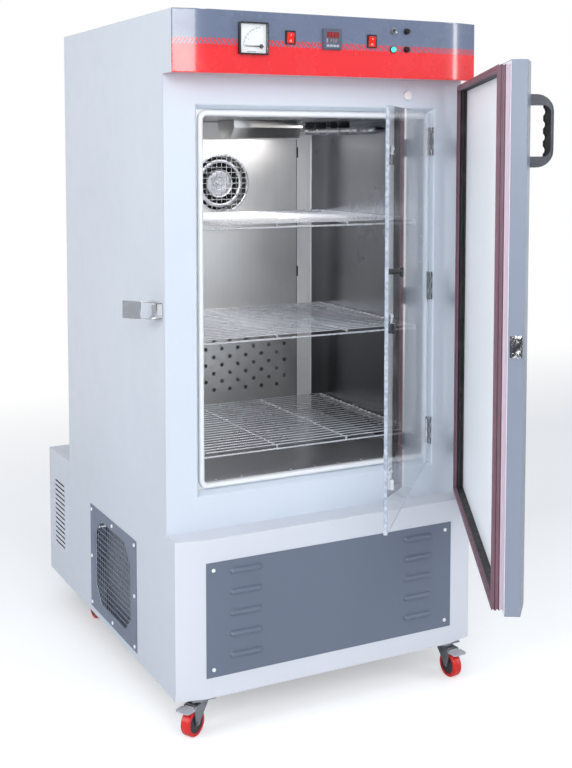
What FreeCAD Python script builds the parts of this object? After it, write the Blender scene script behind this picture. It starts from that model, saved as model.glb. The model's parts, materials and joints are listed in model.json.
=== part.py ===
import FreeCAD, Part
import math
import os
from FreeCAD import Rotation, Vector

# A free-standing humidity cabinet with a glass-clear inner door and an insulated main door.
# Millimetres. X runs to the right, Y to the back and Z up. The origin is on the floor,
# under the middle of the main cabinet.

# Outer cabinet
width = 810.0
depth = 800.0
height = 1650.0
floor_gap = 85.0
sheet = 1.5
base_top = 456.0
fascia_bottom = 1510.0
door_recess = 55.0
bevel_width = 68.0
bevel_depth = 16.0
ledge_sheet = 2.0

# Opening in the front frame, the tapered reveal and the seal seat
opening_width = 650.0
opening_height = 906.0
opening_middle = 989.0
reveal_depth = 22.0
reveal_taper = 10.0
seat_width = 16.0
mouth_seal_height = 8.7
mouth_seal_inset = 1.0

# Steel chamber and its insulation
liner_sheet = 1.2
chamber_depth = 578.0
insulation_back = 100.0
insulation_top = 100.0
insulation_bottom = 90.0

# False back wall with the fan opening and the perforated field
duct_middle = -14.0
duct_width = 476.0
duct_top = 1367.0
duct_gap = 45.0
fan_opening = 157.0
fan_height = 1244.0
hole_diameter = 11.0
hole_pitch = 49.6
hole_row_pitch = 23.3
hole_rows = 10
hole_columns = 9
hole_first_row = 659.0
clip_heights = (985.0, 1330.0)

# Wire shelves
shelf_heights = (624.0, 894.0, 1164.0)
shelf_width = 590.0
shelf_depth = 486.0
shelf_front_gap = 20.0
shelf_wires = 22
wire_diameter = 3.0
rod_diameter = 5.0
front_bar_drop = 7.0
rail_width = 12.0
rail_sheet = 1.5

# Main door
door_gap = 3.0
door_side_gap = 1.0
door_flange = 30.0
door_sheet = 1.2
seal_inset = 8.0
seal_width = 14.0
seal_clearance = 0.3
hinge_out = 7.0
hinge_back = 12.0
hinge_barrel = 13.0
hinge_pin = 6.0
hinge_length = 90.0
hinge_leaf = 3.0
hinge_leaf_reach = 45.0
hinge_heights = (600.0, 983.0, 1366.0)
door_open = 60.0
running_fit = 0.05
end_gap = 0.3

# Handle on the main door
handle_length = 140.0
handle_projection = 48.0
handle_leg = 21.0
handle_grip = 17.0
handle_width = 26.0
handle_middle = 1377.0
handle_from_edge = 101.0
handle_corner = 34.0

# Keeper on the door and toggle latch on the cabinet side
latch_height = 975.0
keeper_length = 42.0
keeper_depth = 24.0
keeper_rise = 9.0
latch_front_gap = 8.0
latch_length = 56.0
latch_tall = 36.0
latch_rise = 26.0
latch_sheet = 2.0
latch_pin_back = 10.0
latch_pin_out = 18.0
latch_pin = 5.0
lever_length = 82.0
lever_open = 34.0

# Clear inner door
inner_sheet = 8.0
inner_width = 624.0
inner_height = 882.0
inner_seal_gap = 0.3
inner_hinge_out = 5.5
inner_hinge_back = 3.0
inner_barrel = 7.0
inner_pin = 3.5
inner_hinge_length = 70.0
inner_hinge_heights = (622.0, 995.0, 1360.0)
inner_leaf = 1.2
inner_leaf_width = 28.0
inner_open = 48.4
knob_height = 1091.0
knob_projection = 26.0
knob_diameter = 22.0
fitting_from_edge = 31.0
catch_heights = (652.0, 978.0, 1323.0)
catch_size = 26.0
catch_rise = 10.0

# Control panel
meter_size = 72.0
meter_x = -216.5
meter_z = 1589.0
meter_rise = 11.0
rocker_width = 26.0
rocker_height = 31.0
rocker_tilt = 8.0
mains_rocker_x = -121.0
cooling_rocker_x = 96.0
rocker_z = 1595.0
controller_size = 48.0
controller_x = -13.0
toggle_x = 155.5
toggle_z = 1622.0
toggle_tilt = 14.0
lamp_z = 1578.0
fuse_x = 193.0
fuse_heights = (1579.0, 1622.0)
bush_diameter = 12.0

# Door switch on the frame
switch_x = 240.5
switch_z = 1473.0
switch_button = 22.0
switch_travel = 4.0

# Vent panels and screws
service_width = 672.0
service_bottom = 133.0
service_top = 402.0
service_sheet = 1.5
louvre_length = 77.0
louvre_rise = 5.0
louvre_height = 9.0
louvre_first = 173.0
louvre_pitch = 49.5
louvre_count = 5
louvre_x = 236.0
grille_front = -148.0
grille_back = 208.0
grille_bottom = 103.0
grille_top = 384.0
grille_border = 42.0
grille_chamfer = 45.0
mesh_pitch = 15.0
mesh_hole = 12.5
screw_head = 9.0
screw_rise = 2.2
screw_inset = 18.0

# Machine box behind the cabinet
box_depth = 200.0
box_top = 450.0
vent_length = 92.0
vent_slots = 14
vent_pitch = 14.0
vent_bottom = 180.0

# Casters
caster_side_inset = 65.0
caster_front_inset = 14.0
caster_rear_inset = 64.0
caster_plate = 58.0
caster_trail = 28.0
wheel_diameter = 63.0
wheel_width = 24.0
axle_diameter = 8.0
fork_sheet = 2.5
fork_clearance = 1.5
front_left_turn = 210.0
front_right_turn = -87.0
pedal_length = 28.0
pedal_width = 40.0
pedal_sheet = 3.0

# Air circulation and machine compartment
blower_diameter = 150.0
blower_width = 30.0
shaft_diameter = 8.0
motor_diameter = 92.0
motor_length = 34.0
condenser_width = 300.0
condenser_height = 240.0
condenser_depth = 50.0
condenser_fan = 210.0
condenser_inset = 30.0
compressor_diameter = 150.0
compressor_height = 190.0
boiler_diameter = 130.0
boiler_height = 200.0
steam_pipe = 22.0
tank_width = 220.0
tank_depth = 130.0
tank_height = 240.0

# Places worked out from the sizes above
half = width / 2
inner_half = half - sheet
front = -depth / 2
back = depth / 2
face = front - bevel_depth
flat_half = half - bevel_width
frame_face = front + door_recess
rear = back + box_depth
opening_half = opening_width / 2
opening_rise = opening_height / 2
seat_face = frame_face + reveal_depth
seat_half = opening_half - reveal_taper
seat_rise = opening_rise - reveal_taper
chamber_half = seat_half - seat_width
chamber_rise = seat_rise - seat_width
chamber_floor = opening_middle - chamber_rise
chamber_top = opening_middle + chamber_rise
chamber_back = seat_face + chamber_depth
duct_face = chamber_back - duct_gap
tray_top = floor_gap + ledge_sheet
hinge_x = half + hinge_out
hinge_y = front + hinge_back
inner_back = seat_face - mouth_seal_height - inner_seal_gap
inner_front = inner_back - inner_sheet
inner_right = seat_half - inner_hinge_out + 0.5
inner_hinge_x = seat_half + 0.5
inner_hinge_y = inner_front + inner_hinge_back
door_half = half - door_side_gap
door_bottom = base_top + door_gap
door_top = fascia_bottom - door_gap
door_back = front + door_flange
door_flat_half = flat_half
fitting_x = inner_right - inner_width + fitting_from_edge
wheel_radius = wheel_diameter / 2
caster_x = half - caster_side_inset
fork_inner = wheel_width / 2 + fork_clearance
fork_outer = fork_inner + fork_sheet
fork_top = floor_gap - 11


def box(x0, x1, y0, y1, z0, z1):
    return Part.makeBox(x1 - x0, y1 - y0, z1 - z0, Vector(x0, y0, z0))


def rod(start, end, diameter):
    start = Vector(*start)
    run = Vector(*end) - start
    return Part.makeCylinder(diameter / 2, run.Length, start, run)


def tube(start, end, outer, inner):
    return rod(start, end, outer).cut(rod(start, end, inner))


def closed_face(points):
    return Part.Face(Part.makePolygon(points + [points[0]]))


def prism_xy(points, z0, z1):
    return closed_face([Vector(x, y, z0) for x, y in points]).extrude(Vector(0, 0, z1 - z0))


def prism_yz(points, x0, x1):
    return closed_face([Vector(x0, y, z) for y, z in points]).extrude(Vector(x1 - x0, 0, 0))


def prism_xz(points, y0, y1):
    return closed_face([Vector(x, y0, z) for x, z in points]).extrude(Vector(0, y1 - y0, 0))


def fused(shapes):
    whole = shapes[0].fuse(shapes[1:]) if len(shapes) > 1 else shapes[0]
    return whole.removeSplitter()


def turned(shape, x, y, angle):
    """The shape swung about the vertical axis through x, y."""
    copy = shape.copy()
    copy.rotate(Vector(x, y, 0), Vector(0, 0, 1), angle)
    return copy


def tilted(shape, x, y, z, axis, angle):
    copy = shape.copy()
    copy.rotate(Vector(x, y, z), Vector(*axis), angle)
    return copy


def moved(shape, x, y, z):
    copy = shape.copy()
    copy.translate(Vector(x, y, z))
    return copy


def mirrored(shape):
    return shape.mirror(Vector(0, 0, 0), Vector(1, 0, 0))


def side_bar(section, across, along, side, middle):
    """One side of a rectangular ring, mitred at both ends.

    The section's points are (distance in from the outer edge, y)."""
    rings = []
    for end in (-1, 1):
        ring = []
        for inset, y in section:
            if side in ("left", "right"):
                sign = -1 if side == "left" else 1
                ring.append(Vector(sign * (across - inset), y, middle + end * (along - inset)))
            else:
                sign = -1 if side == "bottom" else 1
                ring.append(Vector(end * (across - inset), y, middle + sign * (along - inset)))
        rings.append(ring)
    count = len(section)
    faces = [closed_face(rings[0]), closed_face(rings[1])]
    for i in range(count):
        j = (i + 1) % count
        faces.append(closed_face([rings[0][i], rings[0][j], rings[1][j], rings[1][i]]))
    solid = Part.Solid(Part.Shell(faces))
    if solid.Volume < 0:
        solid.reverse()
    return solid


def ring_of_bars(section, across, along, middle):
    return [side_bar(section, across, along, side, middle) for side in ("left", "right", "bottom", "top")]


def round_rectangle(half_x, half_z, middle, radius, y0, y1):
    """A plate with round corners, flat in XZ, from y0 to y1."""
    plate = box(-half_x, half_x, y0, y1, middle - half_z, middle + half_z)
    upright = [e for e in plate.Edges if abs(e.Vertexes[0].Y - e.Vertexes[1].Y) > 1e-6]
    return plate.makeFillet(radius, upright)


def bevelled_outline(y_back, thickness):
    """Points in XY of a flat front with a bevel at each side, as one sheet."""
    outer = [(-half, front), (-flat_half, face), (flat_half, face), (half, front)]
    if y_back is None:
        return outer + [(x, y + thickness) for x, y in reversed(outer)]
    inner = [(-inner_half, front + thickness), (-flat_half, face + thickness)]
    inner += [(flat_half, face + thickness), (inner_half, front + thickness)]
    return inner + [(inner_half, y_back), (-inner_half, y_back)]


def pan_screw(x, y, z, direction):
    """A pan head on a face; direction points out of the face."""
    out = Vector(*direction)
    head = Part.makeCylinder(screw_head / 2, screw_rise, Vector(x, y, z), out)
    rims = [e for e in head.Edges if e.Closed and (e.CenterOfMass - Vector(x, y, z)).Length > screw_rise / 2]
    head = head.makeFillet(screw_rise * 0.45, rims)
    top = Vector(x, y, z) + out * screw_rise
    side = Vector(0, 0, 1)
    across = out.cross(side)
    slot_length, slot_width, slot_depth = screw_head * 0.56, 1.1, 0.9
    for along, other in ((side, across), (across, side)):
        corner = top - along * slot_length / 2 - other * slot_width / 2 - out * slot_depth
        points = [corner, corner + along * slot_length]
        points += [points[1] + other * slot_width, corner + other * slot_width]
        head = head.cut(closed_face(points).extrude(out * slot_depth * 2))
    return head


def octagon(y0, y1, z0, z1, cut):
    return [
        (y0 + cut, z0), (y1 - cut, z0), (y1, z0 + cut), (y1, z1 - cut),
        (y1 - cut, z1), (y0 + cut, z1), (y0, z1 - cut), (y0, z0 + cut),
    ]


def side_outline():
    join = front + sheet
    return [
        (join, floor_gap), (join, base_top), (frame_face, base_top),
        (frame_face, fascia_bottom), (join, fascia_bottom), (join, height),
        (back, height), (back, floor_gap),
    ]


def grille_window():
    return octagon(
        grille_front + grille_border, grille_back - grille_border,
        grille_bottom + grille_border * 0.6, grille_top - grille_border * 0.6, grille_chamfer,
    )


def cabinet_panels():
    left = prism_yz(side_outline(), -half, -inner_half)
    left = left.cut(prism_yz(grille_window(), -half - 1, -inner_half + 1))
    right = prism_yz(side_outline(), inner_half, half)
    top = prism_xy(bevelled_outline(back - sheet, sheet), height - sheet, height)
    rear_panel = box(-inner_half, inner_half, back - sheet, back, box_top - sheet, height)
    tray_outline = bevelled_outline(rear - sheet, sheet)
    tray = prism_xy(tray_outline, floor_gap, tray_top)
    return {
        "left_side_panel": [left],
        "right_side_panel": [right],
        "top_panel": [top],
        "rear_panel": [rear_panel],
        "base_tray": [tray],
    }


def front_frame():
    """Four members of face plate and tapered reveal, mitred at the corners."""
    low, high = opening_middle - opening_rise, opening_middle + opening_rise
    plates = [
        [(-inner_half, base_top), (-opening_half, low), (-opening_half, high), (-inner_half, fascia_bottom)],
        [(inner_half, base_top), (inner_half, fascia_bottom), (opening_half, high), (opening_half, low)],
        [(-inner_half, base_top), (inner_half, base_top), (opening_half, low), (-opening_half, low)],
        [(-inner_half, fascia_bottom), (-opening_half, high),
         (opening_half, high), (inner_half, fascia_bottom)],
    ]
    reveal = [
        (0, frame_face), (reveal_taper, seat_face),
        (reveal_taper - sheet, seat_face), (-sheet, frame_face),
    ]
    bars = ring_of_bars(reveal, opening_half, opening_rise, opening_middle)
    members = []
    for points, bar in zip(plates, bars):
        members.append(prism_xz(points, frame_face, frame_face + sheet).fuse(bar))
    button = rod((switch_x, frame_face - 1, switch_z), (switch_x, seat_face, switch_z), switch_button * 0.6)
    members[3] = members[3].cut(button)
    return members


def chamber_liner():
    """Polished sheet walls with an outward flange at the mouth, and a back."""
    wall = seat_width - liner_sheet
    section = [
        (0, seat_face), (seat_width, seat_face), (seat_width, chamber_back),
        (wall, chamber_back), (wall, seat_face + liner_sheet), (0, seat_face + liner_sheet),
    ]
    walls = ring_of_bars(section, seat_half, seat_rise, opening_middle)
    outer = chamber_half + liner_sheet
    rear_wall = box(
        -outer, outer, chamber_back, chamber_back + liner_sheet,
        chamber_floor - liner_sheet, chamber_top + liner_sheet,
    )
    shaft_hole = shaft_way(chamber_back - 1, chamber_back + 5)
    pipe_hole = steam_run(steam_pipe + 2 * running_fit)
    return [w.cut(pipe_hole) for w in walls] + [rear_wall.cut(shaft_hole)]


def shaft_way(y0, y1):
    return rod((duct_middle, y0, fan_height), (duct_middle, y1, fan_height), 3 * shaft_diameter)


def steam_place():
    return chamber_half * 0.5, chamber_back - duct_gap / 2


def steam_run(diameter):
    x, y = steam_place()
    return rod((x, y, tray_top + boiler_height), (x, y, chamber_floor + 60), diameter)


def insulation():
    """Foam slabs between the chamber and the outer panels."""
    outer = chamber_half + liner_sheet
    low = chamber_floor - liner_sheet - insulation_bottom
    high = chamber_top + liner_sheet + insulation_top
    slab_front = seat_face + liner_sheet
    slab_back = chamber_back + liner_sheet
    left = box(-inner_half, -outer, slab_front, slab_back, low, high)
    right = box(outer, inner_half, slab_front, slab_back, low, high)
    bottom = box(-outer, outer, slab_front, slab_back, low, chamber_floor - liner_sheet)
    bottom = bottom.cut(steam_run(steam_pipe + 2 * running_fit))
    top = box(-outer, outer, slab_front, slab_back, chamber_top + liner_sheet, high)
    rear_slab = box(-inner_half, inner_half, slab_back, slab_back + insulation_back, low, high)
    shaft_hole = shaft_way(slab_back - 1, slab_back + insulation_back + 1)
    return [left, right, bottom, top, rear_slab.cut(shaft_hole)]


def mouth_seal():
    """The bulb seal that the inner door closes on."""
    radius = 24.0
    half_x, half_z = seat_half - mouth_seal_inset, seat_rise - mouth_seal_inset
    bulb = seat_width - 2 * mouth_seal_inset
    outer = round_rectangle(half_x, half_z, opening_middle, radius, seat_face - mouth_seal_height, seat_face)
    inner = round_rectangle(
        half_x - bulb, half_z - bulb, opening_middle, radius - bulb,
        seat_face - mouth_seal_height - 1, seat_face + 1,
    )
    ring = outer.cut(inner)
    top = seat_face - mouth_seal_height
    crown = [e for e in ring.Edges if all(abs(v.Y - top) < 1e-6 for v in e.Vertexes)]
    return [ring.makeFillet(bulb * 0.3, crown)]


def duct_panel():
    """The false back wall: a perforated front sheet and its two side returns."""
    left = duct_middle - duct_width / 2
    right = duct_middle + duct_width / 2
    sheet_back = duct_face + liner_sheet
    panel = box(left, right, duct_face, sheet_back, chamber_floor, duct_top)
    y0, y1 = duct_face - 1, sheet_back + 1
    tools = [rod((duct_middle, y0, fan_height), (duct_middle, y1, fan_height), fan_opening)]
    for row in range(hole_rows):
        columns = hole_columns if row % 2 else hole_columns - 1
        z = hole_first_row + row * hole_row_pitch
        for column in range(columns):
            x = duct_middle + (column - (columns - 1) / 2) * hole_pitch
            tools.append(rod((x, y0, z), (x, y1, z), hole_diameter))
    panel = panel.cut(Part.makeCompound(tools))
    returns = [
        box(left, left + liner_sheet, sheet_back, chamber_back, chamber_floor, duct_top),
        box(right - liner_sheet, right, sheet_back, chamber_back, chamber_floor, duct_top),
    ]
    clips = []
    for z in clip_heights:
        clip = box(right, right + 6, duct_face, duct_face + 9, z - 15, z + 15)
        slot = box(right + 2, right + 7, duct_face + 3, duct_face + 6, z - 16, z + 16)
        clips.append(clip.cut(slot))
    return [panel] + returns + clips


def fan_guard():
    """A round guard of crossed wires welded to a rim, on the false wall."""
    wire = 2.0
    rim_wire = 3.2
    pitch = 15.0
    rim_radius = fan_opening / 2 + 4
    at = lambda y: (duct_middle, y, fan_height)
    rim = tube(at(duct_face - rim_wire), at(duct_face), 2 * rim_radius + rim_wire, 2 * rim_radius - rim_wire)
    wires = []
    count = int(rim_radius // pitch)
    for i in range(-count, count + 1):
        offset = i * pitch
        reach = math.sqrt(rim_radius ** 2 - offset ** 2)
        y = duct_face - wire / 2 - 0.2
        z, x = fan_height + offset, duct_middle + offset
        wires.append(rod((duct_middle - reach, y, z), (duct_middle + reach, y, z), wire))
        y -= wire * 0.8
        wires.append(rod((x, y, fan_height - reach), (x, y, fan_height + reach), wire))
    return [rim.fuse(wires)]


def blower_wheel():
    """A radial wheel: back plate, blades, front ring, hub and shaft, turning about Y."""
    y0 = duct_face + 6
    y1 = y0 + blower_width
    radius = blower_diameter / 2
    at = lambda y: (duct_middle, y, fan_height)
    plate_back, ring_back = y1 - 2, y0 + 4
    plate = rod(at(plate_back), at(y1), blower_diameter)
    ring = tube(at(y0), at(ring_back), blower_diameter, blower_diameter - 24)
    hub = rod(at(y0 + 6), at(plate_back), 34)
    blades = []
    count = 16
    blade_length = 17.0
    half_blade_sheet = 0.8
    blade_lean = 35.0
    tip = radius - 1
    for i in range(count):
        blade = box(tip - blade_length, tip, ring_back, plate_back, -half_blade_sheet, half_blade_sheet)
        blade.rotate(Vector(tip - blade_length / 2 + 0.5, 0, 0), Vector(0, 1, 0), blade_lean)
        blade.rotate(Vector(0, 0, 0), Vector(0, 1, 0), i * 360 / count)
        blades.append(moved(blade, duct_middle, 0, fan_height))
    motor_face = chamber_back + liner_sheet + insulation_back + 3
    shaft = rod(at(plate_back), at(motor_face + motor_length * 0.6), shaft_diameter)
    return [fused([plate, ring, hub, shaft] + blades)]


def blower_motor():
    """The fan motor on its plate, behind the insulation."""
    plate_face = chamber_back + liner_sheet + insulation_back
    at = lambda y: (duct_middle, y, fan_height)
    half_plate_x, half_plate_z = 70.0, 60.0
    body_face = plate_face + 3
    plate = box(
        duct_middle - half_plate_x, duct_middle + half_plate_x, plate_face, body_face,
        fan_height - half_plate_z, fan_height + half_plate_z)
    body = rod(at(body_face), at(body_face + motor_length), motor_diameter)
    end_cap = rod(at(body_face + motor_length), at(back - sheet - 1), motor_diameter * 0.55)
    whole = fused([plate, body, end_cap])
    bore = rod(at(plate_face - 1), at(body_face + motor_length * 0.7), shaft_diameter + 2 * running_fit)
    return [whole.cut(bore)]


def evaporator_coil():
    """A serpentine tube under the chamber ceiling on strap hangers."""
    pipe = 12.0
    spacing = 26.0
    strap_margin = 10.0
    strap_sheet = 2.0
    x0 = chamber_half - 62
    y0 = seat_face + 205
    y1 = duct_face - 22
    z = chamber_top - 24
    reach = 40.0
    runs = []
    for i in range(3):
        x = x0 + i * spacing
        runs.append(rod((x, y0, z), (x, y1, z), pipe))
    for i in range(2):
        x = x0 + (i + 0.5) * spacing
        y = y1 if i % 2 == 0 else y0
        bend = Part.makeTorus(spacing / 2, pipe / 2, Vector(x, y, z), Vector(0, 0, 1))
        beyond = box(x - reach, x + reach, y, y + reach, z - pipe, z + pipe)
        if i % 2:
            beyond = moved(beyond, 0, -reach, 0)
        runs.append(bend.common(beyond))
    coil = fused(runs)
    hangers = []
    count = 5
    for i in range(count):
        y = y0 + spacing + i * (y1 - y0 - 2 * spacing) / (count - 1)
        low_x, high_x = x0 - strap_margin, x0 + 2 * spacing + strap_margin
        strap = box(low_x, high_x, y, y + strap_sheet, z - pipe, chamber_top)
        for k in range(3):
            x = x0 + k * spacing
            strap = strap.cut(rod((x, y - 1, z), (x, y + 3, z), pipe + 2 * running_fit))
        hangers.append(strap)
    return [coil] + hangers


def chamber_light():
    """The lamp housing under the ceiling, with chamfered edges and a lens at its right end."""
    x0, x1 = -90.0, 112.0
    lens_x = 50.0
    y0, y1 = -40.0, 60.0
    wall_height, slope = 20.0, 22.0
    z1 = chamber_top
    z0 = z1 - 46
    outline = [
        (y0, z1), (y0, z1 - wall_height), (y0 + slope, z0),
        (y1 - slope, z0), (y1, z1 - wall_height), (y1, z1),
    ]
    housing = prism_yz(outline, x0, lens_x)
    lens = prism_yz(outline, lens_x, x1)
    return [housing, lens]


def wire_shelf(height_now):
    """Thin wires across, rods front to back and a low front bar."""
    y0 = seat_face + shelf_front_gap
    y1 = y0 + shelf_depth
    x1 = shelf_width / 2
    wire_z = height_now
    rod_z = wire_z - wire_diameter / 2 - rod_diameter / 2 + 0.4
    pieces = []
    for i in range(shelf_wires):
        y = y0 + wire_diameter + i * (shelf_depth - 2 * wire_diameter) / (shelf_wires - 1)
        pieces.append(rod((-x1 + 1, y, wire_z), (x1 - 1, y, wire_z), wire_diameter))
    inset = rod_diameter / 2
    for share in (-1, -1 / 3, 1 / 3, 1):
        x = share * (x1 - inset)
        pieces.append(rod((x, y0, rod_z), (x, y1, rod_z), rod_diameter))
    low_z = rod_z - front_bar_drop
    pieces.append(rod((-x1, y0 + inset, low_z), (x1, y0 + inset, low_z), rod_diameter))
    for share in (-1, -1 / 3, 1 / 3, 1):
        x = share * (x1 - inset)
        pieces.append(rod((x, y0 + inset, low_z), (x, y0 + inset, rod_z), rod_diameter * 0.8))
    return [fused(pieces)]


def shelf_rails():
    """Angle rails on the side walls, under the shelves' side rods."""
    rails = []
    y0 = seat_face + shelf_front_gap + rod_diameter + 3
    y1 = y0 + shelf_depth - rod_diameter - 6
    for z in shelf_heights:
        top = z - wire_diameter / 2 - rod_diameter + 0.4 - end_gap
        outline = [
            (chamber_half - rail_width, top), (chamber_half - rail_width, top - rail_sheet),
            (chamber_half - rail_sheet, top - rail_sheet), (chamber_half - rail_sheet, top - 14),
            (chamber_half, top - 14), (chamber_half, top),
        ]
        rail = prism_xz(outline, y0, y1)
        rails += [rail, mirrored(rail)]
    return rails


def base_front():
    """The folded front of the base with its ledge, and the hole behind the service panel."""
    skin = prism_xy(bevelled_outline(None, sheet), floor_gap, base_top)
    ledge = prism_xy(bevelled_outline(frame_face + sheet, sheet), base_top - sheet, base_top)
    margin = 26.0
    x = service_width / 2 - margin
    hole = box(-x, x, face - 1, face + sheet + 1, service_bottom + margin, service_top - margin)
    return [fused([skin, ledge]).cut(hole)]


def service_panel():
    """The vented cover on the base, with two columns of pressed louvres."""
    x = service_width / 2
    plate = box(-x, x, face - service_sheet, face, service_bottom, service_top)
    skin = face - service_sheet
    louvres, slots = [], []
    for side in (-1, 1):
        for i in range(louvre_count):
            z = louvre_first + i * louvre_pitch
            x0 = side * louvre_x - louvre_length / 2
            x1 = x0 + louvre_length
            hood = prism_yz([(skin, z + louvre_height), (skin - louvre_rise, z), (skin, z)], x0, x1)
            hollow_points = [
                (skin + 0.1, z + louvre_height - 2.2),
                (skin - louvre_rise + 1.2, z - 0.1), (skin + 0.1, z - 0.1)]
            hollow = prism_yz(hollow_points, x0 + 1.2, x1 - 1.2)
            louvres.append(hood.cut(hollow))
            slots.append(box(x0 + 1.2, x1 - 1.2, skin - 0.01, face + 1, z, z + louvre_height - 2.4))
    return [fused([plate.cut(Part.makeCompound(slots))] + louvres)]


def side_grille():
    """The bordered grille on the left side and the square mesh behind it."""
    plate = box(-half - sheet, -half, grille_front, grille_back, grille_bottom, grille_top)
    plate = plate.cut(prism_yz(grille_window(), -half - sheet - 1, -half + 1))
    y0, y1 = grille_front + grille_border, grille_back - grille_border
    z0, z1 = grille_bottom + grille_border * 0.6, grille_top - grille_border * 0.6
    mesh = prism_yz(octagon(y0 - 12, y1 + 12, z0 - 12, z1 + 12, grille_chamfer), -inner_half, -inner_half + 1)
    holes = []
    columns = int((y1 - y0) // mesh_pitch)
    rows = int((z1 - z0) // mesh_pitch)
    for i in range(columns):
        y = (y0 + y1) / 2 + (i - (columns - 1) / 2) * mesh_pitch
        for j in range(rows):
            z = (z0 + z1) / 2 + (j - (rows - 1) / 2) * mesh_pitch
            reach = mesh_hole / 2
            holes.append(box(-inner_half - 1, -inner_half + 2, y - reach, y + reach, z - reach, z + reach))
    return [plate, mesh.cut(Part.makeCompound(holes))]


def cover_screws():
    screws = []
    x = service_width / 2 - screw_inset
    for sx in (-x, x):
        for z in (service_bottom + screw_inset, service_top - screw_inset):
            screws.append(pan_screw(sx, face - service_sheet, z, (0, -1, 0)))
    inset = screw_inset * 0.7
    middle_y = (grille_front + grille_back) / 2
    middle_z = (grille_bottom + grille_top) / 2
    places = [
        (grille_front + inset, grille_bottom + inset), (middle_y, grille_bottom + inset),
        (grille_back - inset, grille_bottom + inset), (grille_back - inset, middle_z),
        (grille_back - inset, grille_top - inset), (middle_y, grille_top - inset),
        (grille_front + inset, grille_top - inset), (grille_front + inset, middle_z),
    ]
    for y, z in places:
        screws.append(pan_screw(-half - sheet, y, z, (-1, 0, 0)))
    for sx in (-inner_half + screw_inset, 0, inner_half - screw_inset):
        for z in (box_top + screw_inset, height - screw_inset * 1.5):
            screws.append(pan_screw(sx, back, z, (0, 1, 0)))
    return screws


def machine_box():
    """The low rear housing: two sides, top and back, each a plain panel with its vents."""
    slots_side, slots_rear = [], []
    for i in range(vent_slots):
        z = vent_bottom + i * vent_pitch
        y = back + box_depth * 0.5
        slots_side.append(box(-half - 1, -inner_half + 1, y - vent_length / 2, y + vent_length / 2, z, z + 5))
        slots_rear.append(box(-260, -260 + 2.4 * vent_length, rear - sheet - 1, rear + 1, z, z + 5))
    left = box(-half, -inner_half, back, rear - sheet, floor_gap, box_top)
    right = box(inner_half, half, back, rear - sheet, floor_gap, box_top)
    top = box(-inner_half, inner_half, back, rear - sheet, box_top - sheet, box_top)
    rear_cover = box(-half, half, rear - sheet, rear, floor_gap, box_top)
    left = left.cut(Part.makeCompound(slots_side))
    return [left, right, top, rear_cover.cut(Part.makeCompound(slots_rear))]


def fascia():
    """The folded control panel with its cut-outs and the return under it."""
    skin = prism_xy(bevelled_outline(None, sheet), fascia_bottom, height)
    underside = prism_xy(bevelled_outline(frame_face + sheet, sheet), fascia_bottom, fascia_bottom + sheet)
    y0, y1 = face - 1, face + sheet + 1
    holes = [
        square_hole(meter_x, meter_z, meter_size - 8, meter_size - 8, y0, y1),
        square_hole(controller_x, rocker_z, controller_size - 3, controller_size - 3, y0, y1),
    ]
    for x in (mains_rocker_x, cooling_rocker_x):
        holes.append(square_hole(x, rocker_z, rocker_width - 3, rocker_height - 3, y0, y1))
    for x, z in round_fittings():
        holes.append(rod((x, y0, z), (x, y1, z), bush_diameter))
    return [fused([skin, underside]).cut(Part.makeCompound(holes))]


def square_hole(x, z, size_x, size_z, y0, y1):
    return box(x - size_x / 2, x + size_x / 2, y0, y1, z - size_z / 2, z + size_z / 2)


def round_fittings():
    return [(toggle_x, toggle_z), (toggle_x, lamp_z)] + [(fuse_x, z) for z in fuse_heights]


def meter_pivot():
    return meter_x + meter_size * 0.27, meter_z - meter_size * 0.24


def panel_meter():
    """The square meter: open front frame with its body, a scale plate and a window."""
    r = meter_size / 2
    wall = 3.0
    front_y = face - meter_rise
    frame = square_hole(meter_x, meter_z, meter_size, meter_size, front_y, face)
    body = square_hole(meter_x, meter_z, meter_size - 8, meter_size - 8, face, face + 44)
    whole = frame.fuse(body)
    pane = meter_size - 2 * wall
    inner = pane - 4
    whole = whole.cut(square_hole(meter_x, meter_z, inner, inner, front_y - 1, face - 1))
    step = square_hole(meter_x, meter_z, pane, pane, front_y - 1, front_y + 2)
    whole = whole.cut(step)
    scale_plate = square_hole(meter_x, meter_z, inner, inner, face - 2.2, face - 1)
    window = square_hole(meter_x, meter_z, pane, pane, front_y + 0.2, front_y + 2)
    px, pz = meter_pivot()
    pivot = rod((px, face - 5.5, pz), (px, face - 2.2, pz), 3)
    return [whole, fused([scale_plate, pivot]), window]


def meter_needle():
    """The pointer, lying level at zero, with its hub on the pivot."""
    px, pz = meter_pivot()
    y0, y1 = face - 5.3, face - 4.1
    hub = rod((px, y0, pz), (px, y1, pz), 8)
    arm = prism_xz([(px, pz - 1.4), (px, pz + 1.4), (px - 40, pz + 0.4), (px - 40, pz - 0.4)], y0, y1)
    counter = square_hole(px + 4, pz, 5, 2.4, y0, y1)
    bore = rod((px, y0 - 1, pz), (px, y1 + 1, pz), 3 + 2 * running_fit)
    return [fused([hub, arm, counter]).cut(bore)]


def temperature_controller():
    """The square controller: bezel, display window and long body."""
    bezel = square_hole(controller_x, rocker_z, controller_size, controller_size, face - 7, face)
    edges = [e for e in bezel.Edges if all(abs(v.Y - (face - 7)) < 1e-6 for v in e.Vertexes)]
    bezel = bezel.makeChamfer(1.5, edges)
    size = controller_size - 3.2
    body = square_hole(controller_x, rocker_z, size, size, face, face + 62)
    size = controller_size - 8
    keypad = square_hole(controller_x, rocker_z, size, size, face - 7.6, face - 7)
    return [fused([bezel, body]), keypad]


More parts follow.
